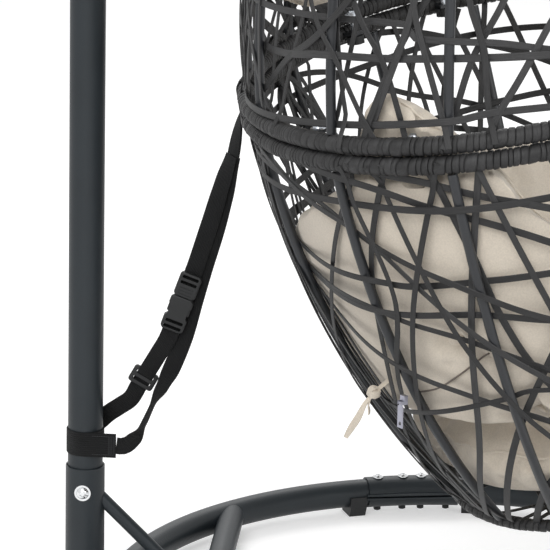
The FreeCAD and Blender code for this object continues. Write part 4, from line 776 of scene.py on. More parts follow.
def woundTube(parts, line, upWay, radius, seed):
    # Strand wound side by side round a bar. Each turn has its own width, tilt and tone.
    rolls, width = random.Random(seed), wrapLook["width"]
    lengths, ways = runLengths(line), directionsOf(line)
    bounds = [-width * 1.2]
    while bounds[-1] < lengths[-1] + width:
        bounds.append(bounds[-1] + width * rolls.choice(wrapLook["spread"]) * rolls.uniform(0.85, 1.15))
    turns = len(bounds) - 1
    tilt = [rolls.uniform(-1, 1) * wrapLook["tilt"] for _ in range(turns + 1)]
    swell = [rolls.uniform(-1, 1) * wrapLook["swell"] for _ in range(turns + 1)]
    tones = [rolls.uniform(0.2, 0.8) for _ in range(turns + 1)]
    shape, around = wrapLook["shape"], wrapLook["around"]
    rows = [(turn, share, sink) for turn in range(turns) for share, sink in shape]
    start, k = len(parts["points"]), 0
    for turn, share, sink in rows:
        for q in range(around):
            t = turn + share + q / around
            whole = min(int(t), turns - 1)
            place = bounds[whole] + (bounds[whole + 1] - bounds[whole]) * (t - whole)
            place = min(max(place, 0), lengths[-1])
            k = max(0, min(len(lengths) - 2, int(place / lengths[-1] * (len(lengths) - 1))))
            while k < len(lengths) - 2 and lengths[k + 1] < place:
                k += 1
            while k > 0 and lengths[k] > place:
                k -= 1
            part = (place - lengths[k]) / (lengths[k + 1] - lengths[k])
            centre, way = line[k].lerp(line[k + 1], part), ways[k].lerp(ways[k + 1], part).normalized()
            side = way.cross(upWay).normalized()
            up = side.cross(way)
            angle = 2 * math.pi * q / around
            out = radius - sink + swell[turn] + tilt[turn] * (share - 0.5)
            point = centre + (side * math.cos(angle) + up * math.sin(angle)) * out
            parts["points"].append(point)
            parts["run"].append((angle * radius, share))
            parts["tone"].append(tones[turn])
    perTurn = len(shape)
    for row in range(len(rows) - perTurn - 1):
        for q in range(around):
            here, up = start + row * around + q, start + (row + 1) * around + q
            if q < around - 1:
                parts["faces"].append((here, here + 1, up + 1, up))
            else:
                far = start + (row + perTurn) * around
                parts["faces"].append((here, far, far + around, up))


def closeEnds(parts):
    # Fills the open ends of wound tubes.
    mesh = bpy.data.meshes.new("open")
    mesh.from_pydata(parts["points"], [], parts["faces"])
    work = bmesh.new()
    work.from_mesh(mesh)
    work.verts.ensure_lookup_table()
    edges = [edge for edge in work.edges if edge.is_boundary]
    filled = bmesh.ops.holes_fill(work, edges=edges, sides=0)["faces"]
    parts["faces"] += [tuple(vertex.index for vertex in face.verts) for face in filled]
    work.free()
    bpy.data.meshes.remove(mesh)


def planRing(halfX, halfY, centre, first, last):
    turns = [math.radians(first + (last - first) * k / 40) for k in range(41)]
    points = [Vector(centre) + Vector((halfX * math.cos(turn), halfY * math.sin(turn), 0)) for turn in turns]
    return smoothLine(points, wrapLook["step"])


def rimLine(top):
    # Half the rim from the joint to the middle, then its mirror image.
    low, high = (top, -0.0005) if top < 0 else (0.0005, top)
    half = []
    for k in range(15):
        angle = 200 + 70 * (k / 14) ** 0.8
        height = rimHeight(angle, low, high) if k < 14 else top
        half.append(wallPoint(min(angle, 270), height)[0])
    half[-1].x = 0
    half = [point for point in half if abs(point.z) > basketShape["wrapRadius"]]
    line = half + [Vector((-point.x, point.y, point.z)) for point in reversed(half[:-1])]
    return smoothLine(line, wrapLook["step"])


def opennessWay(top):
    # The way out of the plane of the front opening's upper or lower half.
    fall = lowerFall + basketShape["bowlLean"] if top < 0 else upperFall + domeLean
    return Vector((0, 1, -fall)).normalized()


def woundPiece(name, line, upWay, radius, seed, *replaced):
    parts = newParts()
    woundTube(parts, line, upWay, radius, seed)
    if replaced:
        closeEnds(parts)
    wickerPiece(name, parts, *replaced)


wrapRadius, ringReach = basketShape["wrapRadius"], basketShape["ringReach"]
for level, way, top in (("lower", -1, -rimDrop), ("upper", 1, upperRimTop)):
    ring = planRing(basketShape["halfWidth"], halfDepth, (0, 0, way * ringRise), ringReach, 180 - ringReach)
    woundPiece(level + "RingWrap", ring, upright, wrapRadius, 21 + way, level + "_ring_wrap")
    woundPiece(level + "RimWrap", rimLine(top), opennessWay(top), wrapRadius, 31 + way, level + "_rim_wrap")
print("rings and rims wound")

lowerWeave = newParts()
for stations in lowerStrands:
    layPair(lowerWeave, stations, stations[0][1] == 0 and dice.random() < 0.5)
for band in ((14, (55, 130), (20, 150), (-.005, -.005), (-.60, -.60)),
             (10, (60, 125), (95, 180), (-.005, -.005), (-.60, -.60)),
             (12, (55, 85), (0, 60), (-.005, -.005), (-.60, -.60)),
             (14, (225, 315), (180, 360), (-.20, -.20), (-.60, -.60)),
             (8, (165, 195), (300, 350), (-.60, -.60), (-.42, -.30))):
    scattered(lowerWeave, *band)


floorLook = {"strands": 17, "turn": 6, "spread": 55, "tuck": 0.004, "sag": 0.0085, "layer": 0.0035,
             "step": 0.014}


def addFloorStrands(parts, settings):
    # Chords across the ring at the bottom of the bowl, in three layers, ends tucked over the ring.
    for k in range(settings["strands"]):
        first = 360 / settings["strands"] * k + dice.uniform(-settings["turn"], settings["turn"])
        last = first + 180 + dice.uniform(-settings["spread"], settings["spread"])
        ends = [wallPoint(angle, -bowlDepth, settings["tuck"])[0] for angle in (first, last)]
        drop = -upright * (settings["sag"] + settings["layer"] * (k % 3))
        middle = [ends[0].lerp(ends[1], share) + drop for share in (0.12, 0.5, 0.88)]
        line = smoothLine([ends[0], *middle, ends[1]], settings["step"])
        addRibbon(parts, line, [-upright] * len(line), weaveLook["width"], weaveLook["thickness"],
                  dice.uniform(0.2, 0.8))


addFloorStrands(lowerWeave, floorLook)
wickerPiece("lowerWeave", lowerWeave, "lower_weave")
bottomRing = planRing(bottomHalfDepth * stretch, bottomHalfDepth, (0, leanAt(-bowlDepth), -bowlDepth), 0, 360)
woundPiece("bottomWrap", bottomRing, upright, wrapLook["bottomRadius"], 41)

upperWeave = newParts()
for stations in upperStrands:
    layPair(upperWeave, stations, stations[-1][1] == 0 and dice.random() < 0.5)
for band in ((18, (50, 128), (0, 170), (.005, .005), (.62, .62)),
             (10, (60, 125), (80, 230), (.005, .005), (.62, .62)),
             (8, (30, 60), (100, 190), (.005, .005), (.45, .58))):
    scattered(upperWeave, *band)
wickerPiece("upperWeave", upperWeave, "upper_weave")
crownCentre = (0, basketShape["crownSetback"], domeHeight)
crownRing = planRing(crownHalfDepth * stretch, crownHalfDepth, crownCentre, 0, 360)
woundPiece("crownWrap", crownRing, upright, wrapLook["crownRadius"], 42)
print("weave laid")

# Cushions: each starts from its CAD solid, is filled by a short cloth simulation, and is kept off the weave.
padLook = {"voxel": 0.0075, "frames": 20, "cap": 0.022, "wallGap": 0.0096, "ringGap": 0.0148,
           "ringZone": 0.034, "floorGap": 0.012, "crownGap": 0.02, "tuftReach": 0.017, "tuftDepth": 0.020,
           "lump": 0.0035, "lumpScale": 9, "shoulder": 0.45, "shoulderAt": 1.9,  # of the folds
           "button": 0.011, "buttonFlat": 0.42, "buttonLift": 0.0005,
           "cloth": {"quality": 5, "mass": 0.25, "tension_stiffness": 12, "compression_stiffness": 12,
                     "bending_stiffness": 0.6, "shrink_min": -0.045, "use_pressure": True,
                     "uniform_pressure_force": 4.0}}
basketBack = basketPlace.inverted()


def keptOffWeave(point):
    # A point in the row frame, moved in where it would press through the wall.
    local = basketBack @ point
    height = min(max(local.z, -bowlDepth + padLook["floorGap"]), domeHeight - padLook["crownGap"])
    gap = padLook["ringGap" if abs(height) < padLook["ringZone"] else "wallGap"]
    depth, lean = depthAt(height), leanAt(height)
    reach = math.hypot(local.x / stretch, local.y - lean)
    limit = depth - gap
    if reach > limit:
        local.x *= limit / reach
        local.y = lean + (local.y - lean) * limit / reach
    local.z = height
    return basketPlace @ local


def reshape(mesh, move):
    # Moves every point of a mesh, with all places and normals read before the first one moves.
    before = [(vertex.co.copy(), vertex.normal.copy()) for vertex in mesh.vertices]
    after = [value for k, (point, way) in enumerate(before) for value in move(k, point, way)]
    mesh.vertices.foreach_set("co", after)
    mesh.update()


def selectOnly(thing):
    bpy.ops.object.select_all(action="DESELECT")
    thing.select_set(True)
    bpy.context.view_layer.objects.active = thing


def applyModifier(thing, kind, **options):
    selectOnly(thing)
    modifier = thing.modifiers.new(kind, kind)
    for key, option in options.items():
        setattr(modifier, key, option)
    bpy.ops.object.modifier_apply(modifier=kind)


def trimmed(first, second):
    # Cuts the active pad along a line on the near wall and takes away what lies to the left of the line, seen
    # from that side and going from first to second.
    start, out = basketPlace @ wallPoint(*first)[0], Vector((-0.96, 0.0, 0.27))
    along = basketPlace @ wallPoint(*second)[0] - start
    left = out.cross(along).normalized()
    bpy.ops.object.mode_set(mode="EDIT")
    bpy.ops.mesh.select_all(action="SELECT")
    bpy.ops.mesh.bisect(plane_co=start, plane_no=left, use_fill=True, clear_outer=True)
    bpy.ops.object.mode_set(mode="OBJECT")


def padStart(name, node, shrink, trims, rounds):
    # The cushion's solid, drawn in a little, on an even mesh with its edges rounded.
    mesh = bpy.data.meshes.new(name)
    work = bmesh.new()
    work.from_mesh(cadNodes[node].data)
    bmesh.ops.remove_doubles(work, verts=work.verts, dist=0.00002)
    work.normal_update()
    for vertex in work.verts:
        vertex.co -= vertex.normal * shrink
    work.to_mesh(mesh)
    work.free()
    pad = linked(bpy.data.objects.new(name, mesh))
    selectOnly(pad)
    for trim in trims:
        trimmed(*trim)
    mesh.remesh_voxel_size = padLook["voxel"]
    bpy.ops.object.voxel_remesh()
    applyModifier(pad, "SMOOTH", iterations=rounds, factor=0.6)
    return pad


def pullTufts(pad, tufts):
    # Draws the cloth in round each tuft, and returns the weight with which the tuft holds each point.
    weights = {}

    def drawnIn(index, point, way):
        moved = point.copy()
        for place in tufts:
            distance = (point - place).length
            if distance < 3 * padLook["tuftReach"]:
                hold = math.exp(-(distance / padLook["tuftReach"]) ** 2)
                moved -= way * padLook["tuftDepth"] * hold
                if hold > 0.35:
                    weights[index] = min(1.0, hold * 1.5)
        return moved

    reshape(pad.data, drawnIn)
    return weights


def fillPad(pad, weights):
    # Blows the cover up like a stuffed cushion, and caps how far each point may move.
    start = [vertex.co.copy() for vertex in pad.data.vertices]
    cloth = pad.modifiers.new("filled", "CLOTH")
    for key, value in padLook["cloth"].items():
        setattr(cloth.settings, key, value)
    cloth.settings.effector_weights.gravity = 0
    cloth.collision_settings.use_collision = False
    cloth.point_cache.frame_end = padLook["frames"]
    if weights:
        held = pad.vertex_groups.new(name="held")
        for index, weight in weights.items():
            held.add([index], weight, "REPLACE")
        cloth.settings.vertex_group_mass = "held"
    for frameNumber in range(1, padLook["frames"] + 1):
        bpy.context.scene.frame_set(frameNumber)
    filled = pad.evaluated_get(bpy.context.evaluated_depsgraph_get()).to_mesh()
    moved = [vertex.co.copy() for vertex in filled.vertices]
    pad.modifiers.remove(cloth)
    bpy.context.scene.frame_set(1)

    def capped(index, point, way):
        step = moved[index] - start[index]
        return start[index] + step * min(1, padLook["cap"] / max(step.length, 1e-9))

    reshape(pad.data, capped)


def creases(pad, lines, seed):
    # Soft folds that run off the tufts and edges, and the small unevenness of stuffing.
    def folded(index, point, way):
        lump = noise.noise(point * padLook["lumpScale"] + Vector((seed, 0, 0))) * padLook["lump"]
        pressed = 0.0
        for first, second, depth, width in lines:
            along = second - first
            share = max(0.0, min(1.0, (point - first).dot(along) / along.length_squared))
            distance = (point - first - along * share).length / width
            if distance < 4:
                fade = math.sin(math.pi * min(max(share, 0.02), 0.98)) ** 0.5
                shoulder = padLook["shoulder"] * math.exp(-(distance - padLook["shoulderAt"]) ** 2)
                pressed += depth * fade * (math.exp(-distance ** 2) - shoulder)
        return point + way * (lump - pressed)

    reshape(pad.data, folded)


def clearOfWall(index, point, way):
    return keptOffWeave(point)


def wallPlace(angle, height, inset):
    return basketPlace @ wallPoint(angle, height, -inset)[0]


def foldLine(near, first, second, depth=6, width=12):
    # A crease between two places, depth and width in millimetres. A place without an inset lies 10 mm in.
    ends = [near.find_nearest(wallPlace(*(*place, 0.010)[:3]))[0] for place in (first, second)]
    return *ends, depth / 1000, width / 1000


def makePad(name, node, settings, seed):
    pad = padStart(name, node, settings["shrink"], settings.get("trims", ()), settings.get("rounds", 6))
    tufts = [wallPlace(*tuft) for tuft in settings["tufts"]]
    near = BVHTree.FromObject(pad, bpy.context.evaluated_depsgraph_get())
    tufts = [near.find_nearest(place)[0] for place in tufts]
    weights = pullTufts(pad, tufts)
    fillPad(pad, weights)
    creases(pad, [foldLine(near, *row) for row in settings["folds"]], seed)
    reshape(pad.data, clearOfWall)
    applyModifier(pad, "SUBSURF", levels=1, render_levels=1)
    reshape(pad.data, clearOfWall)
    coat(pad.data, "cushionCloth")
    pad.data.polygons.foreach_set("use_smooth", [True] * len(pad.data.polygons))
    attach(pad, "basket")
    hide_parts(node)
    return pad, BVHTree.FromObject(pad, bpy.context.evaluated_depsgraph_get()), tufts


seatHeight = -0.465


def seatPlace(across, back, rise):
    # A place on the seat cushion, as shares of its half width and half depth, above its middle.
    inset = depthAt(seatHeight) * (1 - math.hypot(across, back))
    return math.degrees(math.atan2(back, across)) % 360, seatHeight + rise, inset


pads = {
    "seatCushion": {"node": "seat_cushion", "shrink": 0.009, "fill": 0.6, "folds": [],
                    "tufts": [seatPlace(x, y, .06)
                              for x, y in ((.001, 0), (.46, 0), (-.46, 0), (0, .46), (0, -.46))]},
    "nearCushion": {"node": "left_wing_cushion", "shrink": 0.006, "fill": 0.55, "rounds": 4,
                    "trims": [((123, -.123), (154.5, .087)), ((158, .087), (168, .049)),
                              ((182, -.020), (189, -.078))],
                    "tufts": [(160, -.275, .009), (175, -.398, .009), (118, -.26, .09), (160, -.20, .095),
                              (190, -.17, .095)],
                    "folds": [((163, -.315), (146, -.30), 8, 9), ((163, -.315), (150, -.345), 9, 8),
                              ((163, -.315), (176, -.27), 6, 10), ((163, -.315), (170, -.375), 7, 9),
                              ((184, -.43), (172, -.40), 8, 9), ((184, -.43), (192, -.37), 8, 9),
                              ((184, -.43), (176, -.35), 6, 10), ((140, -.02, .015), (146, -.14), 7, 12),
                              ((178, -.02, .015), (171, -.12), 6, 14),
                              ((186, -.05, .015), (182, -.17), 5, 12),
                              ((132, -.09), (136, -.20), 6, 11), ((166, -.236), (153, -.286), 9, 7),
                              ((153, -.286), (140, -.327), 9, 7), ((176, -.405), (171, -.432), 8, 6),
                              ((178, -.402), (180, -.440), 7, 6), ((175, -.395), (181, -.360), 7, 7),
                              ((172, -.214), (177, -.193), 5, 8)]},
    "farCushion": {"node": "right_wing_cushion", "shrink": 0.007, "fill": 0.55,
                   "tufts": [(20, -.33, .009), (60, -.28, .09), (20, -.30, .08), (-10, -.32, .08)],
                   "folds": [((20, -.33), (34, -.30)), ((20, -.33), (10, -.29)),
                             ((60, -.20, .02), (58, -.30))]},
    "backCushion": {"node": "back_cushion", "shrink": 0.003, "fill": 0.6, "rounds": 3,
                    "tufts": [(78, .27, .10), (104, .28, .10), (90, .35, .10), (90, .33, .012),
                              (66, .22, .012), (112, .25, .012)],
                    "folds": [((66, .22, .012), (58, .12, .012)), ((66, .22, .012), (74, .14, .012)),
                              ((90, .33, .012), (84, .24, .012)), ((90, .33, .012), (100, .24, .012)),
                              ((112, .25, .012), (118, .20, .012), 5)]},
}
padMeshes = {}
for seed, (name, settings) in enumerate(pads.items()):
    pad, surface, tufts = makePad(name, settings["node"], settings, seed)
    padMeshes[name] = {"surface": surface, "tufts": tufts}
    print(name, "filled,", len(pad.data.polygons), "faces")


# Sewn seams lie on the finished covers, dark strips of painted shade lie along creases and a seam, and a
# covered button sits in each tuft.
def onPad(name, place, lift):
    point, way, _, _ = padMeshes[name]["surface"].find_nearest(place)
    return point + way * lift, way


def seamLine(parts, name, stations, width=0.0034, lift=0.0006):
    rough = smoothLine([wallPlace(*station) for station in stations], 0.006)
    laid = [onPad(name, place, lift) for place in rough]
    line = [place for place, _ in laid]
    for _ in range(3):
        line = [line[0]] + [(a + b * 2 + c) / 4 for a, b, c in zip(line, line[1:], line[2:])] + [line[-1]]
    addRibbon(parts, line, [way for _, way in laid], width, seamThickness, 0.5, lip=0.28)


def ringed(stations):
    return stations + stations[:1]


edgeInset, edgeWidth, seamThickness = 0.030, 0.0042, 0.0028
nearEdge = [(96, -.395), (92, -.36), (91.5, -.24), (93, -.16), (101, -.115), (124, -.075), (139, -.03),
            (146, .03), (152, .080), (158, .090), (164, .080), (178, .03), (189, -.03), (194, -.075),
            (201, -.16), (206, -.24), (209, -.36), (204, -.395)]
farEdge = [(84, -.395), (88, -.36), (88, -.25), (84, -.215), (30, -.212), (-6, -.215), (-20, -.25),
           (-29, -.36), (-24, -.395)]
backEdge = [(53, .045), (51, .09), (51, .15), (53, .205), (57, .34), (66, .395), (90, .405), (114, .395),
            (123, .34), (124, .205), (102, .150), (78, .09), (60, .045)]
piping = newParts()
for name, edge in (("nearCushion", nearEdge), ("farCushion", farEdge), ("backCushion", backEdge)):
    seamLine(piping, name, [(angle, height, edgeInset) for angle, height in ringed(edge)], edgeWidth)
# dark strips laid on the covers along creases and the back cushion's seam are painted shade
creaseShadeStrips = newParts()
for name, width, stations in (
        ("nearCushion", 0.0026, [(168, -.285, .010), (158, -.32, .009), (150, -.345, .009),
                                 (142, -.358, .009)]),
        ("nearCushion", 0.0026, [(189, -.435, .010), (180, -.452, .009)]),
        ("backCushion", 0.0020, [(72, .035, .010), (71, .14, .010), (72, .26, .010), (75, .38, .012)])):
    seamLine(creaseShadeStrips, name, stations, width)
seatEdge = [seatPlace(0.955 * math.cos(math.radians(t)), 0.955 * math.sin(math.radians(t)), 0.018)
            for t in range(0, 361, 12)]
seamLine(piping, "seatCushion", seatEdge, edgeWidth)
pieceFrom("cushionPiping", piping, "basket", "cushionCloth")
pieceFrom("cushionCreaseShade", creaseShadeStrips, "basket", "creaseShadeCloth")


def makeButtons():
    # One covered button, pressed from a ball and copied into every tuft.
    bpy.ops.object.select_all(action="DESELECT")
    bpy.ops.mesh.primitive_uv_sphere_add(segments=20, ring_count=10, radius=padLook["button"])
    model = bpy.context.object
    bpy.ops.object.mode_set(mode="EDIT")
    bpy.ops.mesh.select_all(action="SELECT")
    bpy.ops.transform.resize(value=(1, 1, padLook["buttonFlat"]))
    bpy.ops.object.mode_set(mode="OBJECT")
    buttons = bmesh.new()
    for name, made in padMeshes.items():
        for tuft in made["tufts"]:
            point, way = onPad(name, tuft, padLook["buttonLift"])
            turn = way.to_track_quat("Z", "X").to_matrix().to_4x4()
            copy = model.data.copy()
            copy.transform(Matrix.Translation(point) @ turn)
            buttons.from_mesh(copy)
            bpy.data.meshes.remove(copy)
    mesh = bpy.data.meshes.new("cushionButtons")
    buttons.to_mesh(mesh)
    buttons.free()
    bpy.data.objects.remove(model)
    finishedPiece("cushionButtons", mesh, "basket", "cushionCloth", crease=60)


makeButtons()
print("seams and buttons sewn")

# Ties: flat fabric strips knotted outside the weave, with their ends hanging.
tieLook = {"spots": [(133.5, -.346), (46.5, -.346), (112, .250), (68, .250)], "out": 0.0215, "width": 0.0100,
           "thickness": 0.0016, "loop": 0.0078, "loops": 3, "loopTurn": 1.05, "loopShrink": 0.13,
           "loopWave": 0.0034, "tail": 0.073, "shortTail": 0.42, "tailLean": 29}


def addTie(parts, angle, height, dice):
    middle, way = wallPoint(angle, height, tieLook["out"])
    middle, way = basketPlace @ middle, basketPlace.to_3x3() @ way
    side = way.cross(Vector((0, 0, 1))).normalized()
    up = side.cross(way)
    for wrap in range(tieLook["loops"]):
        line, turn = [], dice.uniform(-0.4, 0.4) + wrap * tieLook["loopTurn"]
        size = tieLook["loop"] * (1 - tieLook["loopShrink"] * wrap)
        flat = side * math.cos(turn) + up * math.sin(turn)
        across = side * math.sin(turn) - up * math.cos(turn)
        for k in range(25):
            t = 2 * math.pi * k / 24
            wave = across * math.sin(2 * t + wrap) * tieLook["loopWave"]
            line.append(middle + (flat * math.sin(t) + way * math.cos(t)) * size + wave)
        faces = [(point - middle).normalized() for point in line]
        addRibbon(parts, line, faces, tieLook["width"] * 0.92, tieLook["thickness"], 0.5, lip=0.06)
    for end, spread in ((-1, 1.0), (1, 0.35)):
        lean = math.radians(tieLook["tailLean"]) * spread
        drop = Vector((0, math.sin(lean), -math.cos(lean)))
        length = tieLook["tail"] * (1.0 if end < 0 else tieLook["shortTail"])
        line = smoothLine([middle - way * 0.002, middle + drop * length * 0.16 + way * 0.006,
                           middle + drop * length * 0.5 + way * 0.004 + side * 0.002 * end,
                           middle + drop * length * 0.8 + way * 0.001, middle + drop * length], 0.004)
        widths = [tieLook["width"] * (0.34 + 0.62 * math.sin(math.pi * (k / (len(line) - 1)) ** 1.3 * 0.86))
                  for k in range(len(line))]
        twist = [(way * math.cos(0.9 * k / len(line)) + side * math.sin(0.9 * k / len(line)) * end)
                 for k in range(len(line))]
        addRibbon(parts, line, twist, widths, tieLook["thickness"], 0.5, lip=0.05)
    back = smoothLine([middle - way * 0.004, middle - way * 0.016, middle - way * 0.031], 0.004)
    addRibbon(parts, back, [up] * len(back), tieLook["width"], tieLook["thickness"], 0.5)


ties = newParts()
for spot in tieLook["spots"]:
    addTie(ties, *spot, dice)
pieceFrom("cushionTies", ties, "basket", "cushionCloth", ["cushion_ties"], crease=50)
print("ties knotted")

# Strap stations: across, behind the base ring's centre, height, and how far the webbing turns on edge.
strapLook = {"width": 0.025, "thickness": 0.0016, "nearX": -0.02445, "farX": -0.02845, "baseY": -0.026,
             "poleSetback": 0.555, "bandRadius": 0.0261, "bandWidth": 0.036, "bandHeight": 0.258,
             "bandTail": 0.508, "bandSide": 0.02775, "loopX": -0.02645, "loopReach": 0.0134, "plyGap": 0.0009,
             "tailTop": (.3375, .7519), "tailEnd": (.3475, .689), "tailTurn": 42}
nearX, farX, bandSide = strapLook["nearX"], strapLook["farX"], strapLook["bandSide"]
nearRun = [(nearX, .5077, .258, 0), (nearX, .497, .258, 0), (nearX, .484, .2675, 22), (nearX, .471, .288, 70),
           (nearX, .457, .320, 74), (nearX, .443, .348, 40), (nearX, .428, .381, 4), (nearX, .412, .425, 0),
           (nearX, .399, .476, 0), (nearX, .386, .525, 0), (nearX, .372, .574, -4), (nearX, .359, .625, -22),
           (nearX, .3455, .6882, -48)]
farLowRun = [(bandSide, .556, .262, 0), (bandSide, .541, .274, 0), (.025, .525, .290, -8),
             (.012, .507, .306, -16), (0, .490, .322, -16), (-.010, .478, .345, -8), (-.018, .464, .370, 0),
             (-.025, .449, .397, 0), (farX, .436, .421, 0), (farX, .4253, .4510, 0)]
farHighRun = [(farX, .4077, .5000, 0), (farX, .397, .530, 0), (farX, .386, .566, 0), (farX, .3735, .608, -8),
              (farX, .3625, .648, -26), (farX, .350, .689, -48)]


def strapPoint(across, setback, height):
    return Vector((across, setback + strapLook["baseY"], height))


def turnedFaces(line, stations):
    # The way the webbing faces at each point, from the turns given at the stations.
    lengths = runLengths([strapPoint(*station[:3]) for station in stations])
    faces, j = [], 0
    for k, way in enumerate(directionsOf(line)):
        goal = lengths[-1] * k / (len(line) - 1)
        while j < len(lengths) - 2 and lengths[j + 1] < goal:
            j += 1
        share = eased(min(1, (goal - lengths[j]) / (lengths[j + 1] - lengths[j])))
        turn = math.radians(stations[j][3] * (1 - share) + stations[j + 1][3] * share)
        flat = (Vector((1, 0, 0)) - way * way.x).normalized()
        faces.append(flat * math.cos(turn) + way.cross(flat) * math.sin(turn))
    return faces


def webbingPiece(name, parts, body, node):
    pieceFrom(name, parts, body, "webbing", [node], crease=50)


def addWebbing(parts, line, faces, width=strapLook["width"]):
    addRibbon(parts, line, faces, width, strapLook["thickness"], lip=0.03)


def strapPiece(name, node, body, *runs):
    parts = newParts()
    for stations in runs:
        line = smoothLine([strapPoint(*station[:3]) for station in stations], 0.005)
        addWebbing(parts, line, turnedFaces(line, stations))
    webbingPiece(name, parts, body, node)


def makeBand():
    # A wider band goes round the pole and back along its near side, where its tail is sewn down.
    centre = strapPoint(0, strapLook["poleSetback"], strapLook["bandHeight"])
    radius = strapLook["bandRadius"]
    line = [strapPoint(-radius, strapLook["bandTail"] + k * 0.005, strapLook["bandHeight"]) for k in range(9)]
    faces = [Vector((-1, 0, 0))] * len(line)
    for k in range(49):
        turn = math.radians(180 - 360 * k / 48)
        out = Vector((math.cos(turn), math.sin(turn), 0))
        line.append(centre + out * (radius + 0.0001))
        faces.append(out)
    parts = newParts()
    addWebbing(parts, line, faces, strapLook["bandWidth"])
    webbingPiece("strapBand", parts, "stand", "strap_band")


def makeLoop():
    # One length of webbing goes over both rings and is sewn to itself below them.
    middle, reach, half = strapLook["loopX"], strapLook["loopReach"], halfDepth - 0.0005
    ring = [(half + reach, -ringRise)]
    for k in range(19):
        turn = math.radians(180 * k / 18)
        ring.append((half + reach * math.cos(turn), ringRise + reach * math.sin(turn)))
    for k in range(17):
        turn = math.radians(160 * k / 16)
        ring.append((half - reach * math.cos(turn), -ringRise - reach * math.sin(turn)))
    ring = [basketPlace @ Vector((middle, *spot)) for spot in ring]
    tailTop, tailEnd = (strapPoint(middle, *strapLook[key]) for key in ("tailTop", "tailEnd"))
    down = (tailEnd - tailTop).normalized()

    def tailWay(point):
        # The tail turns, on its way down, to lie flat between the layers that it is sewn to.
        share = min(1, max(0, (point - tailTop).dot(down) / (tailEnd - tailTop).length))
        turn = Matrix.Rotation(-math.radians(strapLook["tailTurn"]) * share * (2 - share), 3, down)
        return turn @ Vector((0, 1, 0.16)).normalized()

    rising = [tailTop.lerp(tailEnd, share) for share in (1, 0.75, 0.5, 0.25, 0)]
    stations = [point + tailWay(point) * strapLook["plyGap"] for point in rising] + ring
    stations += [point - tailWay(point) * strapLook["plyGap"] for point in reversed(rising)]
    line = smoothLine(stations, 0.003)
    faces, ways = [], directionsOf(line)
    for k, (point, way) in enumerate(zip(line, ways)):
        face = way.cross(Vector((1, 0, 0)))
        if (point - tailTop).dot(down) > 0 and point.z < tailTop.z:
            face = tailWay(point) * (-1 if k > len(line) / 2 else 1)
            face = face if face.dot(way.cross(Vector((1, 0, 0)))) > 0 else -face
        faces.append(face)
    parts = newParts()
    addWebbing(parts, line, faces)
    webbingPiece("strapLoop", parts, "basket", "strap_loop")
    return tailTop, tailEnd


def addStitches(parts, start, along, across, length, width, rows, pitch=0.0032, thread=0.0007):
    # Rows of thread that stand just proud of the webbing.
    face = along.cross(across).normalized()
    count = int(length / pitch)
    for row in range(rows):
        side = across * (width * (row / (rows - 1) - 0.5))
        for k in range(count):
            first = start + side + along * (k * pitch)
            last = first + along * (pitch * 0.72)
            arch = first.lerp(last, 0.5) + face * thread * 0.6
            addRibbon(parts, [first, arch, last], [face] * 3, thread, thread * 0.8, lip=0.3)


makeBand()
strapPiece("strapSewnEnd", "strap_sewn_end", "strap_end", [(nearX, .522, .258, 0), (nearX, .508, .258, 0)])
strapPiece("strapNearLayer", "strap_near_layer", "strap", nearRun)
strapPiece("strapFarLayer", "strap_far_layer", "strap", farLowRun, farHighRun)
loopTop, loopEnd = makeLoop()
tacks = newParts()
tackSpot = strapPoint(-strapLook["bandRadius"] - 0.0009, strapLook["bandTail"] + 0.003,
                      strapLook["bandHeight"])
rearward = Vector((0, 1, 0))
for k in range(3):
    rowStart = tackSpot + Vector((0, k * 0.0035, -0.0125))
    addStitches(tacks, rowStart, upright, rearward, 0.026, 0.0014, 2, 0.0017)
addStitches(tacks, tackSpot, rearward, -upright, 0.034, 0.027, 2)
pieceFrom("bandStitches", tacks, "stand", "thread", crease=60)
seams = newParts()
downWay = (loopEnd - loopTop).normalized()
for side in (1, -1):
    outWay = downWay.cross(Vector((1, 0, 0))).normalized() * side
    seamStart = loopTop.lerp(loopEnd, 0.03) + outWay * 0.0019
    addStitches(seams, seamStart, downWay, Vector((-side, 0, 0)), 0.013, 0.019, 3)
pieceFrom("loopStitches", seams, "basket", "thread", crease=60)
print("strap laid")

# Slide and buckle, modelled in the strap's own frame: x through the webbing, y across it, z along it.
slideLook = {"x": -0.014, "from": (.471, .3575), "to": (.464, .370), "thick": 0.0056, "wide": 0.038,
             "tall": 0.026, "corner": 0.0042, "edge": 0.0012, "slot": 0.0052, "slotCorner": 0.0012,
             "bar": 0.0048, "cheek": 0.0058}
buckleLook = {"x": farX - 0.002, "from": (.4165, .4755), "to": (.397, .530), "half": 0.017, "thick": 0.010,
              "edge": 0.0022, "slot": (0.0036, 0.0082), "slotPitch": 0.0085, "slotCorner": 0.0015,
              "socket": (-0.044, 0.008), "socketCorner": 0.0065, "socketCheek": 0.0042,
              "throat": (0.0034, 0.003, 0.022, 0.01),  # half its depth, cheek, floor, and out past the end
              "window": (0.0085, 0.0205, 0.040),  # half its depth, and its ends from the socket's low end
              "windowSpan": (-0.0035, 0.0155), "windowCorner": 0.0045,
              "plug": (0.0083, 0.044), "plugCorner": 0.0055, "plugCheek": 0.0052,
              "ridge": (0.004, 0.0062), "ridgePitch": 0.0045, "ridges": 3}
throughAll = 0.02  # half the depth of a cutter that goes through


def alongStrap(settings):
    run = Vector((settings["to"][0] - settings["from"][0], settings["to"][1] - settings["from"][1]))
    turn = math.atan2(run.y, run.x) - math.pi / 2
    return Matrix.Translation(strapPoint(settings["x"], *settings["from"])) @ Matrix.Rotation(turn, 4, "X")


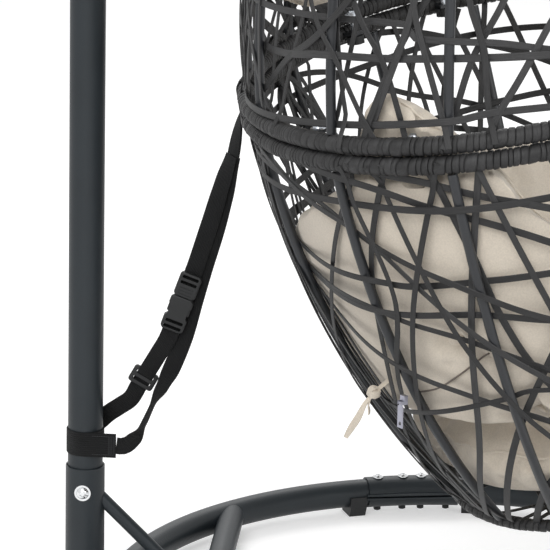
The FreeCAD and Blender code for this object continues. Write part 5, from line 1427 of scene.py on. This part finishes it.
def roundedBlock(low, high, corner, edge=0, axis=0):
    # A block with round corners about one axis and softened rims.
    bpy.ops.object.select_all(action="DESELECT")
    centre = [(a + b) / 2 for a, b in zip(low, high)]
    bpy.ops.mesh.primitive_cube_add(size=1, location=centre)
    block = bpy.context.object
    block.scale = [b - a for a, b in zip(low, high)]
    bpy.ops.object.transform_apply(location=True, rotation=True, scale=True)
    for stage, offset, segments in (("corner", corner, 5), ("rim", edge, 3)):
        if not offset:
            continue
        bpy.ops.object.mode_set(mode="EDIT")
        bpy.ops.mesh.select_mode(type="EDGE")
        bpy.ops.mesh.select_all(action="DESELECT")
        work = bmesh.from_edit_mesh(block.data)
        for line in work.edges:
            span = line.verts[1].co - line.verts[0].co
            through = abs(span[axis]) > 0.9 * span.length
            first, last = (vertex.co[axis] for vertex in line.verts)
            fromFace = min(abs(first - face[axis]) for face in (low, high))
            onFace = abs(first - last) < 1e-6 and fromFace < 1e-6
            line.select_set(through if stage == "corner" else onFace)
        work.select_flush_mode()
        bmesh.update_edit_mesh(block.data)
        bpy.ops.mesh.bevel(offset=offset, segments=segments, affect="EDGES")
        bpy.ops.object.mode_set(mode="OBJECT")
    return block


def middleBlock(halfThick, halfWide, low, high, corner, edge=0):
    # A block across the strap's own middle, from low to high along it.
    return roundedBlock((-halfThick, -halfWide, low), (halfThick, halfWide, high), corner, edge)


def sideBlock(side, halfThick, wide, low, high, corner, edge=0):
    # The same on one side of the middle, between the two distances in wide.
    near, far = sorted(side * distance for distance in wide)
    return roundedBlock((-halfThick, near, low), (halfThick, far, high), corner, edge)


def combined(block, others, operation):
    # Joins or cuts with the other blocks one by one, and takes them away.
    for other in others:
        applyModifier(block, "BOOLEAN", operation=operation, solver="EXACT", object=other)
        bpy.data.objects.remove(other)
    return block


def plasticPiece(name, model, place, node):
    mesh = model.data.copy()
    mesh.transform(place)
    bpy.data.objects.remove(model)
    finishedPiece(name, mesh, "strap", "blackPlastic", [node], crease=32)


def makeSlide(settings):
    thick, wide, tall = (settings[key] / 2 for key in ("thick", "wide", "tall"))
    slide = middleBlock(thick, wide, -tall, tall, settings["corner"], settings["edge"])
    cutters = []
    for way in (1, -1):
        low, high = sorted((way * settings["bar"] / 2, way * (settings["bar"] / 2 + settings["slot"])))
        cutters.append(middleBlock(throughAll, wide - settings["cheek"], low, high, settings["slotCorner"]))
    plasticPiece("strapSlide", combined(slide, cutters, "DIFFERENCE"), alongStrap(settings), "strap_slide")


def makeBuckle(settings):
    half, thick, place = settings["half"], settings["thick"] / 2, alongStrap(settings)
    edge, corner = settings["edge"], settings["slotCorner"]
    (near, far), pitch = settings["slot"], settings["slotPitch"]
    low, high = settings["socket"]
    socket = middleBlock(thick, half, low, high, settings["socketCorner"], edge)
    deep, cheek, floor, past = settings["throat"]
    cutters = [middleBlock(deep, half - cheek, low + floor, high + past, 0.0010)]
    deep, start, end = settings["window"]
    span = [half + reach for reach in settings["windowSpan"]]
    cutters += [sideBlock(side, deep, span, low + start, low + end, settings["windowCorner"])
                for side in (1, -1)]
    wide = half - settings["socketCheek"]
    cutters += [middleBlock(throughAll, wide, low + near + pitch * k, low + far + pitch * k, corner)
                for k in (0, 1)]
    plasticPiece("buckleSocket", combined(socket, cutters, "DIFFERENCE"), place, "buckle_socket")
    low, high = settings["plug"]
    plug = middleBlock(thick, half - 0.001, low, high, settings["plugCorner"], edge)
    wide = half - settings["plugCheek"]
    cutters = [middleBlock(throughAll, wide, high - far - pitch * k, high - near - pitch * k, corner)
               for k in (0, 1)]
    start, end = settings["ridge"]
    for k in range(settings["ridges"]):
        rise = low + settings["ridgePitch"] * k
        cutters.append(roundedBlock((-thick - 0.002, -half + 0.007, rise + start),
                                    (-thick + 0.0007, half - 0.007, rise + end), 0))
    combined(plug, cutters, "DIFFERENCE")
    prongs = []
    for side in (1, -1):
        prongs.append(sideBlock(side, 0.003, (half - 0.0101, half - 0.0035), low - 0.026, low + 0.003,
                                0.0024, 0.0009))
        prongs.append(sideBlock(side, 0.0031, (half - 0.006, half - 0.0008), low - 0.0255, low - 0.0125,
                                0.0022, 0.0009))
    prongs.append(middleBlock(0.0025, 0.0028, low - 0.018, low + 0.003, 0.0018, 0.0008))
    plasticPiece("bucklePlug", combined(plug, prongs, "UNION"), place, "buckle_plug")


makeSlide(slideLook)
makeBuckle(buckleLook)
print("slide and buckle made")
